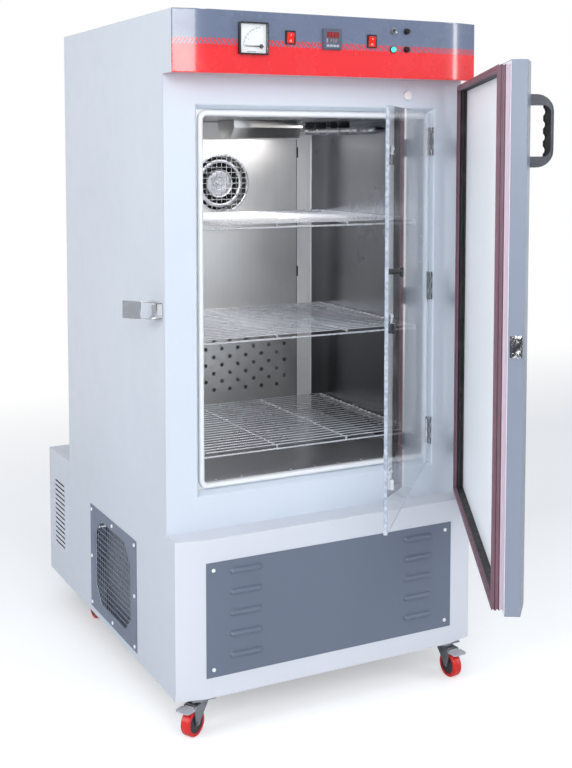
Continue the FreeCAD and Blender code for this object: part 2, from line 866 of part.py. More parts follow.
def panel_fittings():
    """Rocker frames, the toggle's bush and nut, and the fuse holders."""
    pieces = []
    for x in (mains_rocker_x, cooling_rocker_x):
        frame = square_hole(x, rocker_z, rocker_width, rocker_height, face - 2.5, face)
        frame = frame.fuse(square_hole(x, rocker_z, rocker_width - 3.4, rocker_height - 3.4, face, face + 26))
        well = square_hole(x, rocker_z, rocker_width - 7, rocker_height - 5, face - 3, face + 20)
        pieces.append(frame.cut(well))
    bush = rod((toggle_x, face - 5, toggle_z), (toggle_x, face + 22, toggle_z), bush_diameter - 0.4)
    nut = rod((toggle_x, face - 3, toggle_z), (toggle_x, face, toggle_z), bush_diameter + 4)
    well = Part.makeCone(
        4.6, 2.6, 11, Vector(toggle_x, face - 5.01, toggle_z), Vector(0, 1, 0))
    socket = Part.makeSphere(3.6, Vector(toggle_x, face + 4, toggle_z))
    pieces.append(fused([bush, nut]).cut(well).cut(socket))
    for z in fuse_heights:
        holder = rod((fuse_x, face, z), (fuse_x, face + 34, z), bush_diameter - 0.4)
        flange = rod((fuse_x, face - 2, z), (fuse_x, face, z), bush_diameter + 3)
        cap = Part.makeCone(6.2, 5.4, 9, Vector(fuse_x, face - 2, z), Vector(0, -1, 0))
        slot = box(fuse_x - 0.8, fuse_x + 0.8, face - 12, face - 9.4, z - 7, z + 7)
        pieces.append(fused([holder, flange]))
        pieces.append(cap.cut(slot))
    return pieces


def indicator_lamp():
    """The green lamp: a bezel with its body and a domed lens."""
    bezel = rod((toggle_x, face - 3, lamp_z), (toggle_x, face, lamp_z), bush_diameter + 5)
    body = rod((toggle_x, face, lamp_z), (toggle_x, face + 26, lamp_z), bush_diameter - 0.4)
    lens_radius = 7.0
    dome = Part.makeSphere(lens_radius, Vector(toggle_x, face - 3, lamp_z))
    dome = dome.common(box(toggle_x - 9, toggle_x + 9, face - 9, face - 3, lamp_z - 9, lamp_z + 9))
    return [fused([bezel, body]), dome]


def rocker(x):
    """A rocker paddle on its cross pin, tilted as it rests."""
    r = (rocker_height - 5) / 2 - 0.9
    y_pin = face + 3
    outline = [(face - 5.2, rocker_z - r), (face - 3.4, rocker_z), (face - 5.2, rocker_z + r)]
    outline += [(face + 1.5, rocker_z + r), (y_pin + 4, rocker_z), (face + 1.5, rocker_z - r)]
    half_x = (rocker_width - 7) / 2 - 0.4
    paddle = prism_yz(outline, x - half_x, x + half_x)
    return [tilted(paddle, x, y_pin, rocker_z, (1, 0, 0), rocker_tilt)]


def toggle_lever():
    """The toggle's ball and tapered bat, pointing a little down."""
    pivot = Vector(toggle_x, face + 4, toggle_z)
    ball = Part.makeSphere(3.3, pivot)
    bat = Part.makeCone(1.5, 2.8, 20, pivot, Vector(0, -1, 0))
    tip = Part.makeSphere(2.8, pivot + Vector(0, -20, 0))
    return [tilted(fused([ball, bat, tip]), toggle_x, face + 4, toggle_z, (1, 0, 0), toggle_tilt)]


def door_switch_button():
    """The round button on the frame, with its stem in the frame's hole."""
    stem = rod(
        (switch_x, frame_face - 1.5, switch_z),
        (switch_x, seat_face - 6, switch_z), switch_button * 0.6 - 0.8)
    cap = rod(
        (switch_x, frame_face - switch_travel - 5, switch_z),
        (switch_x, frame_face - switch_travel - 0.6, switch_z), switch_button)
    rims = [e for e in cap.Edges if e.Closed and e.CenterOfMass.y < frame_face - switch_travel - 3]
    return [fused([cap.makeFillet(1.6, rims), moved(stem, 0, -switch_travel + 0.5, 0)])]


def door_hinges():
    """Lift-off hinges on the right: the cabinet's halves with their pins, and the door's halves."""
    cabinet, door = [], []
    for z in hinge_heights:
        low, high = z - hinge_length / 2, z + hinge_length / 2
        barrel = rod((hinge_x, hinge_y, low), (hinge_x, hinge_y, z - end_gap / 2), hinge_barrel)
        pin = rod((hinge_x, hinge_y, low), (hinge_x, hinge_y, high - 6), hinge_pin)
        leaf = box(half, half + hinge_leaf, hinge_y, frame_face + hinge_leaf_reach, low, z - end_gap / 2)
        cabinet.append(fused([barrel, pin, leaf]))
        upper = rod((hinge_x, hinge_y, z + end_gap / 2), (hinge_x, hinge_y, high), hinge_barrel)
        door_leaf = box(door_half, door_half + hinge_leaf, front + 2, door_back - 2, z + end_gap / 2, high)
        bore = rod((hinge_x, hinge_y, z - 1), (hinge_x, hinge_y, high - 5), hinge_pin + 2 * running_fit)
        half_hinge = fused([upper, door_leaf]).cut(bore)
        door.append(turned(half_hinge, hinge_x, hinge_y, door_open))
    return cabinet, door


def door_outline(inset):
    """The door's section in XY: bevelled outside, with a flange to the back."""
    edge = door_half - inset
    return [
        (-edge, door_back), (-edge, front + inset * 0.4), (-door_flat_half, face + inset),
        (door_flat_half, face + inset), (edge, front + inset * 0.4), (edge, door_back),
    ]


def main_door():
    """The foam-filled door, built closed and swung open."""
    def opened(shapes):
        return [turned(s, hinge_x, hinge_y, door_open) for s in shapes]

    shell = prism_xy(door_outline(0), door_bottom, door_top)
    cavity_outline = door_outline(door_sheet)
    cavity_outline[0] = (cavity_outline[0][0], door_back + 1)
    cavity_outline[-1] = (cavity_outline[-1][0], door_back + 1)
    cavity = prism_xy(cavity_outline, door_bottom + door_sheet, door_top - door_sheet)
    shell = shell.cut(cavity)
    core_outline = door_outline(door_sheet)
    core_outline[0] = (core_outline[0][0], door_back - door_sheet)
    core_outline[-1] = (core_outline[-1][0], door_back - door_sheet)
    core = prism_xy(core_outline, door_bottom + door_sheet, door_top - door_sheet)
    edge = door_half - door_sheet
    panel = box(
        -edge, edge, door_back - door_sheet, door_back,
        door_bottom + door_sheet, door_top - door_sheet,
    )
    seal_face = frame_face - seal_clearance
    u0, u1 = seal_inset, seal_inset + seal_width
    ridge, pitch = 2.0, 8.0
    y = door_back
    section = [(u0, y), (u1, y), (u1, y + 4), (u1 - ridge, y + 6), (u1, y + pitch), (u1, y + pitch + 4)]
    section += [(u1 - ridge, y + pitch + 6), (u1, y + 2 * pitch), (u1, seal_face - 3), (u1 - 3, seal_face)]
    section += [(u0 + 3, seal_face), (u0, seal_face - 3), (u0, y + 2 * pitch), (u0 + ridge, y + pitch + 6)]
    section += [(u0, y + pitch + 4), (u0, y + pitch), (u0 + ridge, y + 6), (u0, y + 4)]
    middle = (door_bottom + door_top) / 2
    seal = ring_of_bars(section, door_half, (door_top - door_bottom) / 2, middle)
    return {
        "door_shell": opened([shell]),
        "door_core": opened([core]),
        "door_inner_panel": opened([panel]),
        "door_seal": opened(seal),
        "door_handle": opened(door_handle()),
        "door_metalwork": opened(keeper()),
    }


def arc_outline(y_base, y_out, z0, z1, radius, steps=8):
    """A D outline in YZ: straight on the door side, round at both outer corners."""
    points = [(y_base, z0)]
    for i in range(steps + 1):
        a = math.pi / 2 * i / steps
        points.append((y_out + radius - radius * math.sin(a), z0 + radius - radius * math.cos(a)))
    for i in range(steps + 1):
        a = math.pi / 2 * i / steps
        points.append((y_out + radius - radius * math.cos(a), z1 - radius + radius * math.sin(a)))
    points.append((y_base, z1))
    return points


def door_handle():
    """A D handle with a softer grip lining its inner side."""
    x = -door_half + handle_from_edge
    x0, x1 = x - handle_width / 2, x + handle_width / 2
    z0 = handle_middle - handle_length / 2
    z1 = handle_middle + handle_length / 2
    out = face - handle_projection
    body = prism_yz(arc_outline(face, out, z0, z1, handle_corner), x0, x1)
    opening = arc_outline(face + 1, out + 6, z0 + handle_leg, z1 - handle_leg, handle_corner * 0.45)
    body = body.cut(prism_yz(opening, x0 - 1, x1 + 1))
    long_edges = [e for e in body.Edges if e.Length > 60 and abs(e.CenterOfMass.y - out) < 1]
    body = body.makeFillet(3, long_edges)
    grip_space = arc_outline(out + handle_grip, out + 6, z0 + handle_leg, z1 - handle_leg, 10)
    grip = prism_yz(grip_space, x0 + 1, x1 - 1)
    waves = []
    count = 4
    reach = handle_length - 2 * handle_leg
    for i in range(count):
        z = z0 + handle_leg + reach * (i + 0.5) / count
        waves.append(rod((x0 - 1, out + handle_grip + 6, z), (x1 + 1, out + handle_grip + 6, z), 19))
    grip = grip.cut(Part.makeCompound(waves)).common(prism_yz(opening, x0, x1))
    return [body] + grip.Solids


def keeper():
    """The strike on the door's edge: a plate with a raised lip and two screws."""
    x = -door_half
    y0 = (front + door_back) / 2 - keeper_depth / 2
    y1 = y0 + keeper_depth
    z0, z1 = latch_height - keeper_length / 2, latch_height + keeper_length / 2
    plate = box(x - 1.5, x, y0, y1, z0, z1)
    crest = x - keeper_rise
    lip = prism_xy([(x - 1.5, y0 + 5), (crest, y0 + 8), (crest, y0 + 11), (x - 1.5, y0 + 12)], z0, z1)
    notch = box(x - keeper_rise - 1, x - 1.5, y0, y1, latch_height - 9, latch_height + 9)
    pieces = [fused([plate, lip.cut(notch)])]
    for z in (z0 + 6, z1 - 6):
        pieces.append(rod((x - 1.5, y1 - 6, z), (x - 3.2, y1 - 6, z), 6))
    return pieces


def latch_axis():
    return -half - latch_pin_out, frame_face + latch_front_gap + latch_pin_back


def latch_base():
    """The bracket on the cabinet side: back plate, two cheeks and the open mouth."""
    y0 = frame_face + latch_front_gap
    y1 = y0 + latch_length
    z0, z1 = latch_height - latch_tall / 2, latch_height + latch_tall / 2
    plate = box(-half - latch_sheet, -half, y0, y1, z0, z1)
    crest = -half - latch_rise
    outline = [(-half, y0), (-half, y1), (-half - 7, y1), (crest, y0 + 22), (crest, y0)]
    cheeks = [prism_xy(outline, z0, z0 + latch_sheet), prism_xy(outline, z1 - latch_sheet, z1)]
    px, py = latch_axis()
    body = fused([plate] + cheeks)
    body = body.cut(rod((px, py, z0 - 1), (px, py, z1 + 1), latch_pin + 2 * running_fit))
    screw = Part.makeSphere(5, Vector(-half - latch_sheet + 2.5, y0 + 36, latch_height))
    screw = screw.common(box(-half - 12, -half - latch_sheet, y0, y1, z0, z1))
    return [body, screw]


def latch_lever():
    """The lever, built flat along the side and swung out: two arms, a finger plate, a nose and the pin."""
    px, py = latch_axis()
    z0, z1 = latch_height - latch_tall / 2, latch_height + latch_tall / 2
    arm_low, arm_high = z0 - latch_sheet - end_gap, z1 + latch_sheet + end_gap
    arm = [
        (px + 5, py - 7), (px + 5, py + 30), (px - 3, py + lever_length),
        (px - 6, py + lever_length), (px - 6, py - 7),
    ]
    arms = [prism_xy(arm, arm_low, z0 - end_gap), prism_xy(arm, z1 + end_gap, arm_high)]
    finger = box(px - 8, px - 6, py + 32, py + lever_length, arm_low, arm_high)
    curl = box(px - 8, px - 1, py + lever_length - 2, py + lever_length, arm_low, arm_high)
    pin = rod((px, py, arm_low), (px, py, arm_high), latch_pin)
    nose = box(px - 3, px + 3, py - 7, py + 3, z0 + latch_sheet + end_gap, z1 - latch_sheet - end_gap)
    lever = fused(arms + [finger, curl, pin, nose])
    return [turned(lever, px, py, lever_open)]


def inner_door():
    """The clear door with its knob, hinge leaves and catches, built closed and swung open."""
    def opened(shapes):
        return [turned(s, inner_hinge_x, inner_hinge_y, inner_open) for s in shapes]

    left = inner_right - inner_width
    z0, z1 = opening_middle - inner_height / 2, opening_middle + inner_height / 2
    pane = box(left, inner_right, inner_front, inner_back, z0, z1)
    knob_base = rod(
        (fitting_x, inner_front, knob_height),
        (fitting_x, inner_front - 18, knob_height), knob_diameter * 0.55)
    knob_cap = rod(
        (fitting_x, inner_front - 18, knob_height),
        (fitting_x, inner_front - knob_projection, knob_height), knob_diameter)
    rims = [e for e in knob_cap.Edges if e.Closed]
    knob = fused([knob_base, knob_cap.makeFillet(2.5, rims)])
    metal = []
    for z in inner_hinge_heights:
        metal.append(inner_leaf_half(z))
    for z in catch_heights:
        metal += inner_catch(z)
    return {
        "inner_door_pane": opened([pane]),
        "inner_door_knob": opened([knob]),
        "inner_door_metalwork": opened(metal),
    }


def knuckle_bands(z):
    """Heights of the five knuckles of one butt hinge; even ones belong to the frame."""
    step = inner_hinge_length / 5
    base = z - inner_hinge_length / 2
    return [(base + i * step + end_gap / 2, base + (i + 1) * step - end_gap / 2) for i in range(5)]


def inner_hinge_rod(low, high, diameter):
    return rod((inner_hinge_x, inner_hinge_y, low), (inner_hinge_x, inner_hinge_y, high), diameter)


def inner_leaf_half(z):
    """The leaf on the clear door, with its two knuckles."""
    z0, z1 = z - inner_hinge_length / 2, z + inner_hinge_length / 2
    reach = inner_right - inner_leaf_width
    leaf = box(reach, inner_right, inner_front - inner_leaf, inner_front, z0, z1)
    pieces = [leaf]
    for index, (low, high) in enumerate(knuckle_bands(z)):
        if index % 2:
            pieces.append(inner_hinge_rod(low, high, inner_barrel))
            strap = box(inner_right - 1, inner_hinge_x, inner_front - inner_leaf, inner_front, low, high)
            pieces.append(strap)
    whole = fused(pieces)
    return whole.cut(inner_hinge_rod(z0 - 1, z1 + 1, inner_pin + 2 * running_fit))


def reveal_x(y):
    return opening_half - reveal_taper * (y - frame_face) / reveal_depth


def inner_hinge_frame_leaves():
    """The leaves on the reveal, each with three knuckles and the pin."""
    leaves = []
    y_out = frame_face + 1.0
    y_in = inner_hinge_y + 1.5
    for z in inner_hinge_heights:
        z0, z1 = z - inner_hinge_length / 2, z + inner_hinge_length / 2
        outline = [
            (reveal_x(y_in), y_in), (reveal_x(y_out), y_out),
            (reveal_x(y_out) - inner_leaf, y_out), (reveal_x(y_in) - inner_leaf, y_in),
        ]
        pieces = [prism_xy(outline, z0, z1), inner_hinge_rod(z0, z1, inner_pin)]
        for index, (low, high) in enumerate(knuckle_bands(z)):
            if index % 2 == 0:
                pieces.append(inner_hinge_rod(low, high, inner_barrel))
                x_out = reveal_x(y_in) - 0.2
                strap = box(inner_hinge_x, x_out, inner_hinge_y, inner_hinge_y + 1.5, low, high)
                pieces.append(strap)
        leaves.append(fused(pieces))
    return leaves


def inner_catch(z):
    """One catch: a wedge-shaped body with a ring pull, and its two dome screws above."""
    x = fitting_x
    y = inner_front
    r = catch_size / 2
    outline = [(x - r, y), (x - r, y - catch_rise), (x + 2, y - catch_rise * 0.5), (x + 6, y)]
    wedge = prism_xy(outline, z - r, z + r * 0.6)
    plate = box(x - r, x + r, y - 1.5, y, z - r, z + r + 14)
    pull = tube((x + 6, y - 1.5, z - 3), (x + 6, y - 5.5, z - 3), 12, 7)
    body = fused([plate, wedge, pull])
    domes = []
    for dx in (-7, 7):
        ball = Part.makeSphere(4.6, Vector(x + dx, y - 1.5 + 1.6, z + r + 7))
        domes.append(ball.common(box(x - 20, x + 20, y - 9, y - 1.5, z, z + 40)))
    return [body] + domes


def caster_local(shape, x, y, turn):
    copy = shape.copy()
    copy.rotate(Vector(0, 0, 0), Vector(0, 0, 1), turn)
    copy.translate(Vector(x, y, 0))
    return copy


def caster_plate_and_pin(turning):
    r = caster_plate / 2
    plate = box(-r, r, -r, r, floor_gap - 3, floor_gap)
    if not turning:
        return plate
    pin = rod((0, 0, floor_gap - 18), (0, 0, floor_gap - 3), 10)
    flange = rod((0, 0, floor_gap - 18), (0, 0, floor_gap - 14 - end_gap), 16)
    return fused([plate, pin, flange])


def caster_fork(turning):
    """Crown, two cheeks and, on a turning caster, the round head; the axle is its own solid."""
    inner, outer, top = fork_inner, fork_outer, fork_top
    trail = caster_trail
    radius = wheel_radius
    cheek = [
        (-14, top), (trail + 12, top), (trail + 12, top - 10), (trail + 8, radius + 9),
        (trail + 5, radius - 5), (trail - 5, radius - 5), (trail - 14, radius + 9),
    ]
    pieces = [prism_xz(cheek, inner, outer), prism_xz(cheek, -outer, -inner)]
    pieces.append(box(-18, trail + 4, -outer, outer, top - 3, top))
    if turning:
        pieces.append(rod((0, 0, top), (0, 0, floor_gap - 3 - end_gap), 40))
    else:
        pieces.append(box(-18, 18, -outer, outer, top, floor_gap - 3))
    body = fused(pieces)
    if turning:
        body = body.cut(rod((0, 0, top - 4), (0, 0, floor_gap), 10 + 2 * running_fit))
        x, z = trail + 9, top - 5
        body = body.cut(rod((x, -outer - 1, z), (x, outer + 1, z), 5 + 2 * running_fit))
    body = body.cut(rod((trail, -outer - 1, radius), (trail, outer + 1, radius), axle_diameter))
    axle = rod((trail, -outer - 2, radius), (trail, outer + 2, radius), axle_diameter)
    return [body, axle]


def caster_wheel():
    """Red tread on a dark hub, bored for the axle."""
    r = wheel_radius
    w = wheel_width / 2
    at = lambda y: (caster_trail, y, r)
    tread = tube(at(-w), at(w), wheel_diameter, wheel_diameter - 16)
    rims = [e for e in tread.Edges if e.Closed and abs(e.Length - math.pi * wheel_diameter) < 1]
    tread = tread.makeFillet(3.5, rims)
    hub = tube(at(-w + 1), at(w - 1), wheel_diameter - 16, axle_diameter + 2 * running_fit)
    reach = w + fork_clearance - 0.5
    boss = tube(at(-reach), at(reach), 16, axle_diameter + 2 * running_fit)
    return [tread, fused([hub, boss])]


def brake_pedal():
    """A flat pedal on a cross pin at the end of the fork."""
    x, z = caster_trail + 9, fork_top - 5
    pin = rod((x, -fork_outer, z), (x, fork_outer, z), 5)
    low, high = z - pedal_sheet / 2, z + pedal_sheet / 2
    neck = box(x, x + 6, -fork_inner + 1, fork_inner - 1, low, high)
    plate = box(x + 5, x + 5 + pedal_length, -pedal_width / 2, pedal_width / 2, low, high)
    upright = [e for e in plate.Edges if abs(e.Vertexes[0].Z - e.Vertexes[1].Z) > 1]
    upright = [e for e in upright if e.CenterOfMass.x > x + 20]
    plate = plate.makeFillet(8, upright)
    return [fused([pin, neck, plate])]


def casters():
    parts = {"caster_mounts": []}
    places = {
        "front_left": (-caster_x, front + caster_front_inset, front_left_turn, True),
        "front_right": (caster_x, front + caster_front_inset, front_right_turn, True),
        "rear_left": (-caster_x, back - caster_rear_inset, 90, False),
        "rear_right": (caster_x, back - caster_rear_inset, 90, False),
    }
    for name, (x, y, turn, turning) in places.items():
        put = lambda shapes: [caster_local(s, x, y, turn) for s in shapes]
        plate = caster_plate_and_pin(turning)
        parts["caster_mounts"].append(moved(plate, x, y, 0))
        if turning:
            parts[name + "_fork"] = put(caster_fork(True))
            parts[name + "_pedal"] = put(brake_pedal())
        else:
            parts["caster_mounts"] += put(caster_fork(False))
        parts[name + "_wheel"] = put(caster_wheel())
    return parts


def condenser():
    """A finned block behind the side grille with a fan shroud and the fan motor on struts."""
    middle_y = (grille_front + grille_back) / 2
    half_width, half_height = condenser_width / 2, condenser_height / 2
    z0 = tray_top
    z1 = z0 + condenser_height
    middle_z = z0 + half_height
    at = lambda x: (x, middle_y, middle_z)
    x0 = -inner_half + condenser_inset
    x1 = x0 + condenser_depth
    block = box(x0, x1, middle_y - half_width, middle_y + half_width, z0, z1)
    shroud_x = x1 + 30
    shroud = box(x1, shroud_x, middle_y - half_height, middle_y + half_height, z0, z1)
    shroud = shroud.cut(rod(at(x1 - 1), at(shroud_x + 1), condenser_fan + 6))
    motor_face, motor_depth, motor_width = shroud_x + 6, 60.0, 70.0
    motor = rod(at(motor_face), at(motor_face + motor_depth), motor_width)
    strut_half, strut_depth = 4.0, 8.0
    struts = []
    for angle in (45, 135, 225, 315):
        strut = box(
            shroud_x, shroud_x + strut_depth, -strut_half, strut_half,
            motor_width * 0.36, condenser_fan / 2 + 12)
        strut.rotate(Vector(0, 0, 0), Vector(1, 0, 0), angle)
        struts.append(moved(strut, 0, middle_y, middle_z))
    frame = fused([shroud, motor] + struts)
    frame = frame.cut(rod(at(shroud_x - 1), at(motor_face + 30), shaft_diameter + 2 * running_fit))
    return [block, frame]


def condenser_fan_wheel():
    """Four blades on a hub inside the shroud, turning about X."""
    middle_y = (grille_front + grille_back) / 2
    middle_z = tray_top + condenser_height / 2
    at = lambda x: (x, middle_y, middle_z)
    hub_depth, hub_diameter = 16.0, 50.0
    blade_half_width, blade_lean = 26.0, 12.0
    x0 = -inner_half + condenser_inset + condenser_depth + 6
    hub = rod(at(x0), at(x0 + hub_depth), hub_diameter)
    shaft = rod(at(x0 + hub_depth), at(x0 + 58), shaft_diameter)
    blades = []
    count = 4
    for i in range(count):
        blade = box(-1, 1, -blade_half_width, blade_half_width, hub_diameter * 0.4, condenser_fan / 2 - 2)
        blade.rotate(Vector(0, 0, 0), Vector(0, 0, 1), blade_lean)
        blade.rotate(Vector(0, 0, 0), Vector(1, 0, 0), i * 360 / count)
        blades.append(moved(blade, x0 + hub_depth / 2, middle_y, middle_z))
    return [fused([hub, shaft] + blades)]


def compressor():
    """The domed compressor can on its base plate and four feet."""
    x, y = -60.0, 300.0
    foot_height, foot_diameter = 12.0, 24.0
    foot_x, foot_y = 75.0, 55.0
    plate_margin = 20.0
    dome_radius = 40.0
    stub_height, stub_diameter = 34.0, 12.0
    z0 = tray_top
    plate_low = z0 + foot_height
    can_low = plate_low + 4
    feet = []
    for dx in (-foot_x, foot_x):
        for dy in (-foot_y, foot_y):
            feet.append(rod((x + dx, y + dy, z0), (x + dx, y + dy, plate_low), foot_diameter))
    plate = box(
        x - foot_x - plate_margin, x + foot_x + plate_margin,
        y - foot_y - plate_margin, y + foot_y + plate_margin, plate_low, can_low)
    can = rod((x, y, can_low), (x, y, can_low + compressor_height), compressor_diameter)
    rims = [e for e in can.Edges if e.Closed and e.CenterOfMass.z > can_low + 1]
    can = can.makeFillet(dome_radius, rims)
    stub_low = z0 + compressor_height
    stub = rod((x, y, stub_low), (x, y, stub_low + stub_height), stub_diameter)
    return [fused([plate, can, stub])] + feet


def steam_generator():
    """The boiler that makes the humidity, its flanged lid and the pipe up into the chamber."""
    x, y = steam_place()
    z0 = tray_top
    can = rod((x, y, z0), (x, y, z0 + boiler_height - 12), boiler_diameter)
    lid = rod((x, y, z0 + boiler_height - 12), (x, y, z0 + boiler_height), boiler_diameter + 24)
    return [fused([can, lid]), steam_run(steam_pipe)]


def water_tank():
    """The feed tank in the machine box, with its filler cap."""
    x, y = 250.0, back + box_depth / 2
    z0 = tray_top
    half_x, half_y = tank_width / 2, tank_depth / 2
    tank = box(x - half_x, x + half_x, y - half_y, y + half_y, z0, z0 + tank_height)
    tank = tank.makeFillet(12, [e for e in tank.Edges if abs(e.Vertexes[0].Z - e.Vertexes[1].Z) > 1])
    cap = rod((x, y, z0 + tank_height), (x, y, z0 + tank_height + 14), 44)
    return [tank, cap]


def all_parts():
    hinges_cabinet, hinges_door = door_hinges()
    parts = {}
    parts.update(cabinet_panels())
    parts["front_frame"] = front_frame()
    parts["base_front"] = base_front()
    parts["service_panel"] = service_panel()
    parts["side_grille"] = side_grille()
    parts["cover_screws"] = cover_screws()
    parts["machine_box"] = machine_box()
    parts["control_fascia"] = fascia()
    parts["chamber_liner"] = chamber_liner()
    parts["insulation_slabs"] = insulation()
    parts["mouth_seal"] = mouth_seal()
    parts["duct_panel"] = duct_panel()
    parts["fan_guard"] = fan_guard()
    parts["blower_wheel"] = blower_wheel()
    parts["blower_motor"] = blower_motor()
    parts["evaporator_coil"] = evaporator_coil()
    parts["chamber_light"] = chamber_light()
    parts["shelf_rails"] = shelf_rails()
    for index, z in enumerate(shelf_heights):
        parts["shelf_%d" % (index + 1)] = wire_shelf(z)
    parts["compressor"] = compressor()
    parts["condenser"] = condenser()
    parts["condenser_fan"] = condenser_fan_wheel()
    parts["steam_generator"] = steam_generator()
    parts["water_tank"] = water_tank()
    parts["panel_meter"] = panel_meter()
    parts["meter_needle"] = meter_needle()
    parts["temperature_controller"] = temperature_controller()
    parts["panel_fittings"] = panel_fittings()
    parts["indicator_lamp"] = indicator_lamp()
    parts["mains_rocker"] = rocker(mains_rocker_x)
    parts["cooling_rocker"] = rocker(cooling_rocker_x)
    parts["toggle_lever"] = toggle_lever()
    parts["door_switch_button"] = door_switch_button()
    parts["frame_hinge_posts"] = hinges_cabinet + inner_hinge_frame_leaves()
    parts["latch_base"] = latch_base()
    parts["latch_lever"] = latch_lever()
    parts.update(main_door())
    parts["door_metalwork"] += hinges_door
    parts.update(inner_door())
    parts.update(casters())
    return parts


def main():
    os.makedirs("parts", exist_ok=True)
    for name, shapes in all_parts().items():
        shape = shapes[0] if len(shapes) == 1 else Part.makeCompound(shapes)
        shape.exportStep("parts/" + name + ".step")


main()
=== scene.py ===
import json
import math

import bmesh
import bpy
import numpy as np
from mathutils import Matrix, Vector

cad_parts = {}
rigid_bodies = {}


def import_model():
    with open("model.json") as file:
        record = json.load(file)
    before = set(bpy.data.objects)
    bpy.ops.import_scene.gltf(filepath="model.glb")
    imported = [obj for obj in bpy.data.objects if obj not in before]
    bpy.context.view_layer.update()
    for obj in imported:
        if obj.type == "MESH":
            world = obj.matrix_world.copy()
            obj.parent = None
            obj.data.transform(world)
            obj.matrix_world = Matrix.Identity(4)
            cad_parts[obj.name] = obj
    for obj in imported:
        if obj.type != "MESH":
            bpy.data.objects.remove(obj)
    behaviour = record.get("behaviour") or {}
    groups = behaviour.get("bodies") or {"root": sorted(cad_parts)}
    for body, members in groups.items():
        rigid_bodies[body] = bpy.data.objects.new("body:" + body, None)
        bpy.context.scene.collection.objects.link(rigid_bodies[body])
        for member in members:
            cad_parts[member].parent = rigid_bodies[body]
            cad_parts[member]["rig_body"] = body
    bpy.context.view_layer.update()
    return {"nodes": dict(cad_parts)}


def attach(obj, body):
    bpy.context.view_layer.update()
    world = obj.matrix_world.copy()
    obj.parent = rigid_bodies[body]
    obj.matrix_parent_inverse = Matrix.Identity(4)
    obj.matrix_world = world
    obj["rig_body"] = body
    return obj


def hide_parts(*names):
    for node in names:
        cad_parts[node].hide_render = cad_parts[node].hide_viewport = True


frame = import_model()
scene = bpy.context.scene
scene.view_settings.view_transform = "Standard"

# Sizes and places in metres, in the cabinet's own frame: x to the right, y to the back, z up from the floor
half = 0.405
front = -0.400
face = -0.416
flat_half = 0.337
frame_face = -0.345
seat_face = -0.323
base_top = 0.456
fascia_bottom = 1.510
height = 1.650
opening_middle = 0.989
opening_half = 0.325
opening_rise = 0.453
seat_half = 0.315
seat_rise = 0.443
chamber_half = 0.299
chamber_rise = 0.427
chamber_back = 0.255
duct_face = 0.210
sheet = 0.0015
door_axis = (0.412, -0.388)
door_open = math.radians(60.0)
door_half = 0.404
door_bottom = 0.459
door_top = 1.507
door_back = -0.370
door_seal_face = -0.3453
meter_x = -0.2165
meter_z = 1.589
meter_size = 0.072
meter_rise = 0.011
meter_plate_face = face - 0.0021
controller_x = -0.013
controls_z = 1.595
switch_places = {"mains_switch": -0.121, "cooling_switch": 0.096}
rocker_tilt = math.radians(8.0)
rocker_half_height = 0.0121
band_z = 1.580
band_half = 0.007
stroke_pitch = 0.0084
cover_half = 0.336
cover_bottom = 0.133
cover_top = 0.402
louvre_x = 0.236
louvre_length = 0.080
louvre_height = 0.0135
louvre_depth = 0.0070
louvre_lowest = 0.1775
louvre_pitch = 0.0495
louvres_each_side = 5
blower_x = -0.014
blower_z = 1.244
duct_right_edge = 0.2243
duct_top = 1.367
fin_pitch = 0.0028


# The photograph's camera
def place_camera():
    """A camera of the photograph's lens, place and turn, with the shift that frames the cabinet."""
    eye = bpy.data.cameras.new("photo_camera")
    eye.sensor_width = 36.0
    eye.lens = 55.925
    eye.shift_x = 0.0
    eye.shift_y = -0.1981
    eye.clip_end = 60.0
    holder = bpy.data.objects.new("photo_camera", eye)
    scene.collection.objects.link(holder)
    holder.location = (-1.3861, -2.8532, 1.3472)
    holder.rotation_euler = (math.radians(90 - 4.091), 0.0, math.radians(-27.236))
    scene.camera = holder


place_camera()


# Meshes
def grid_faces(rows, columns, wrap_rows=False, wrap_columns=False):
    """Quads of a grid of rows by columns; wrapped ways join their last line to their first."""
    row = np.arange(rows if wrap_rows else rows - 1)
    column = np.arange(columns if wrap_columns else columns - 1)
    r, c = np.meshgrid(row, column, indexing="ij")
    r_next, c_next = (r + 1) % rows, (c + 1) % columns
    here, below = r * columns, r_next * columns
    return np.stack([here + c, below + c, below + c_next, here + c_next], -1).reshape(-1, 4)


def build(name, points, faces, made, body, slot, sharp=40.0):
    """One object from an array of points and its faces; its slot is not used."""
    points = np.asarray(points, float).reshape(-1, 3)
    faces = [list(map(int, f)) for f in faces]
    mesh = bpy.data.meshes.new(name)
    mesh.from_pydata(points.tolist(), [], faces)
    mesh.validate()
    mesh.shade_smooth()
    mesh.set_sharp_from_angle(angle=math.radians(sharp))
    mesh.materials.append(finish[made])
    piece = bpy.data.objects.new(name, mesh)
    scene.collection.objects.link(piece)
    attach(piece, body)
    return piece


def joined(parts):
    """Several (points, faces) as one pair."""
    points, faces, start = [], [], 0
    for p, f in parts:
        p = np.asarray(p, float).reshape(-1, 3)
        points.append(p)
        faces += [[int(i) + start for i in one] for one in f]
        start += len(p)
    return np.concatenate(points), faces


def swung(points, axis, angle):
    """Points turned about the vertical axis through axis, by angle."""
    points = np.asarray(points, float).reshape(-1, 3).copy()
    x, y = points[:, 0] - axis[0], points[:, 1] - axis[1]
    points[:, 0] = axis[0] + x * math.cos(angle) - y * math.sin(angle)
    points[:, 1] = axis[1] + x * math.sin(angle) + y * math.cos(angle)
    return points


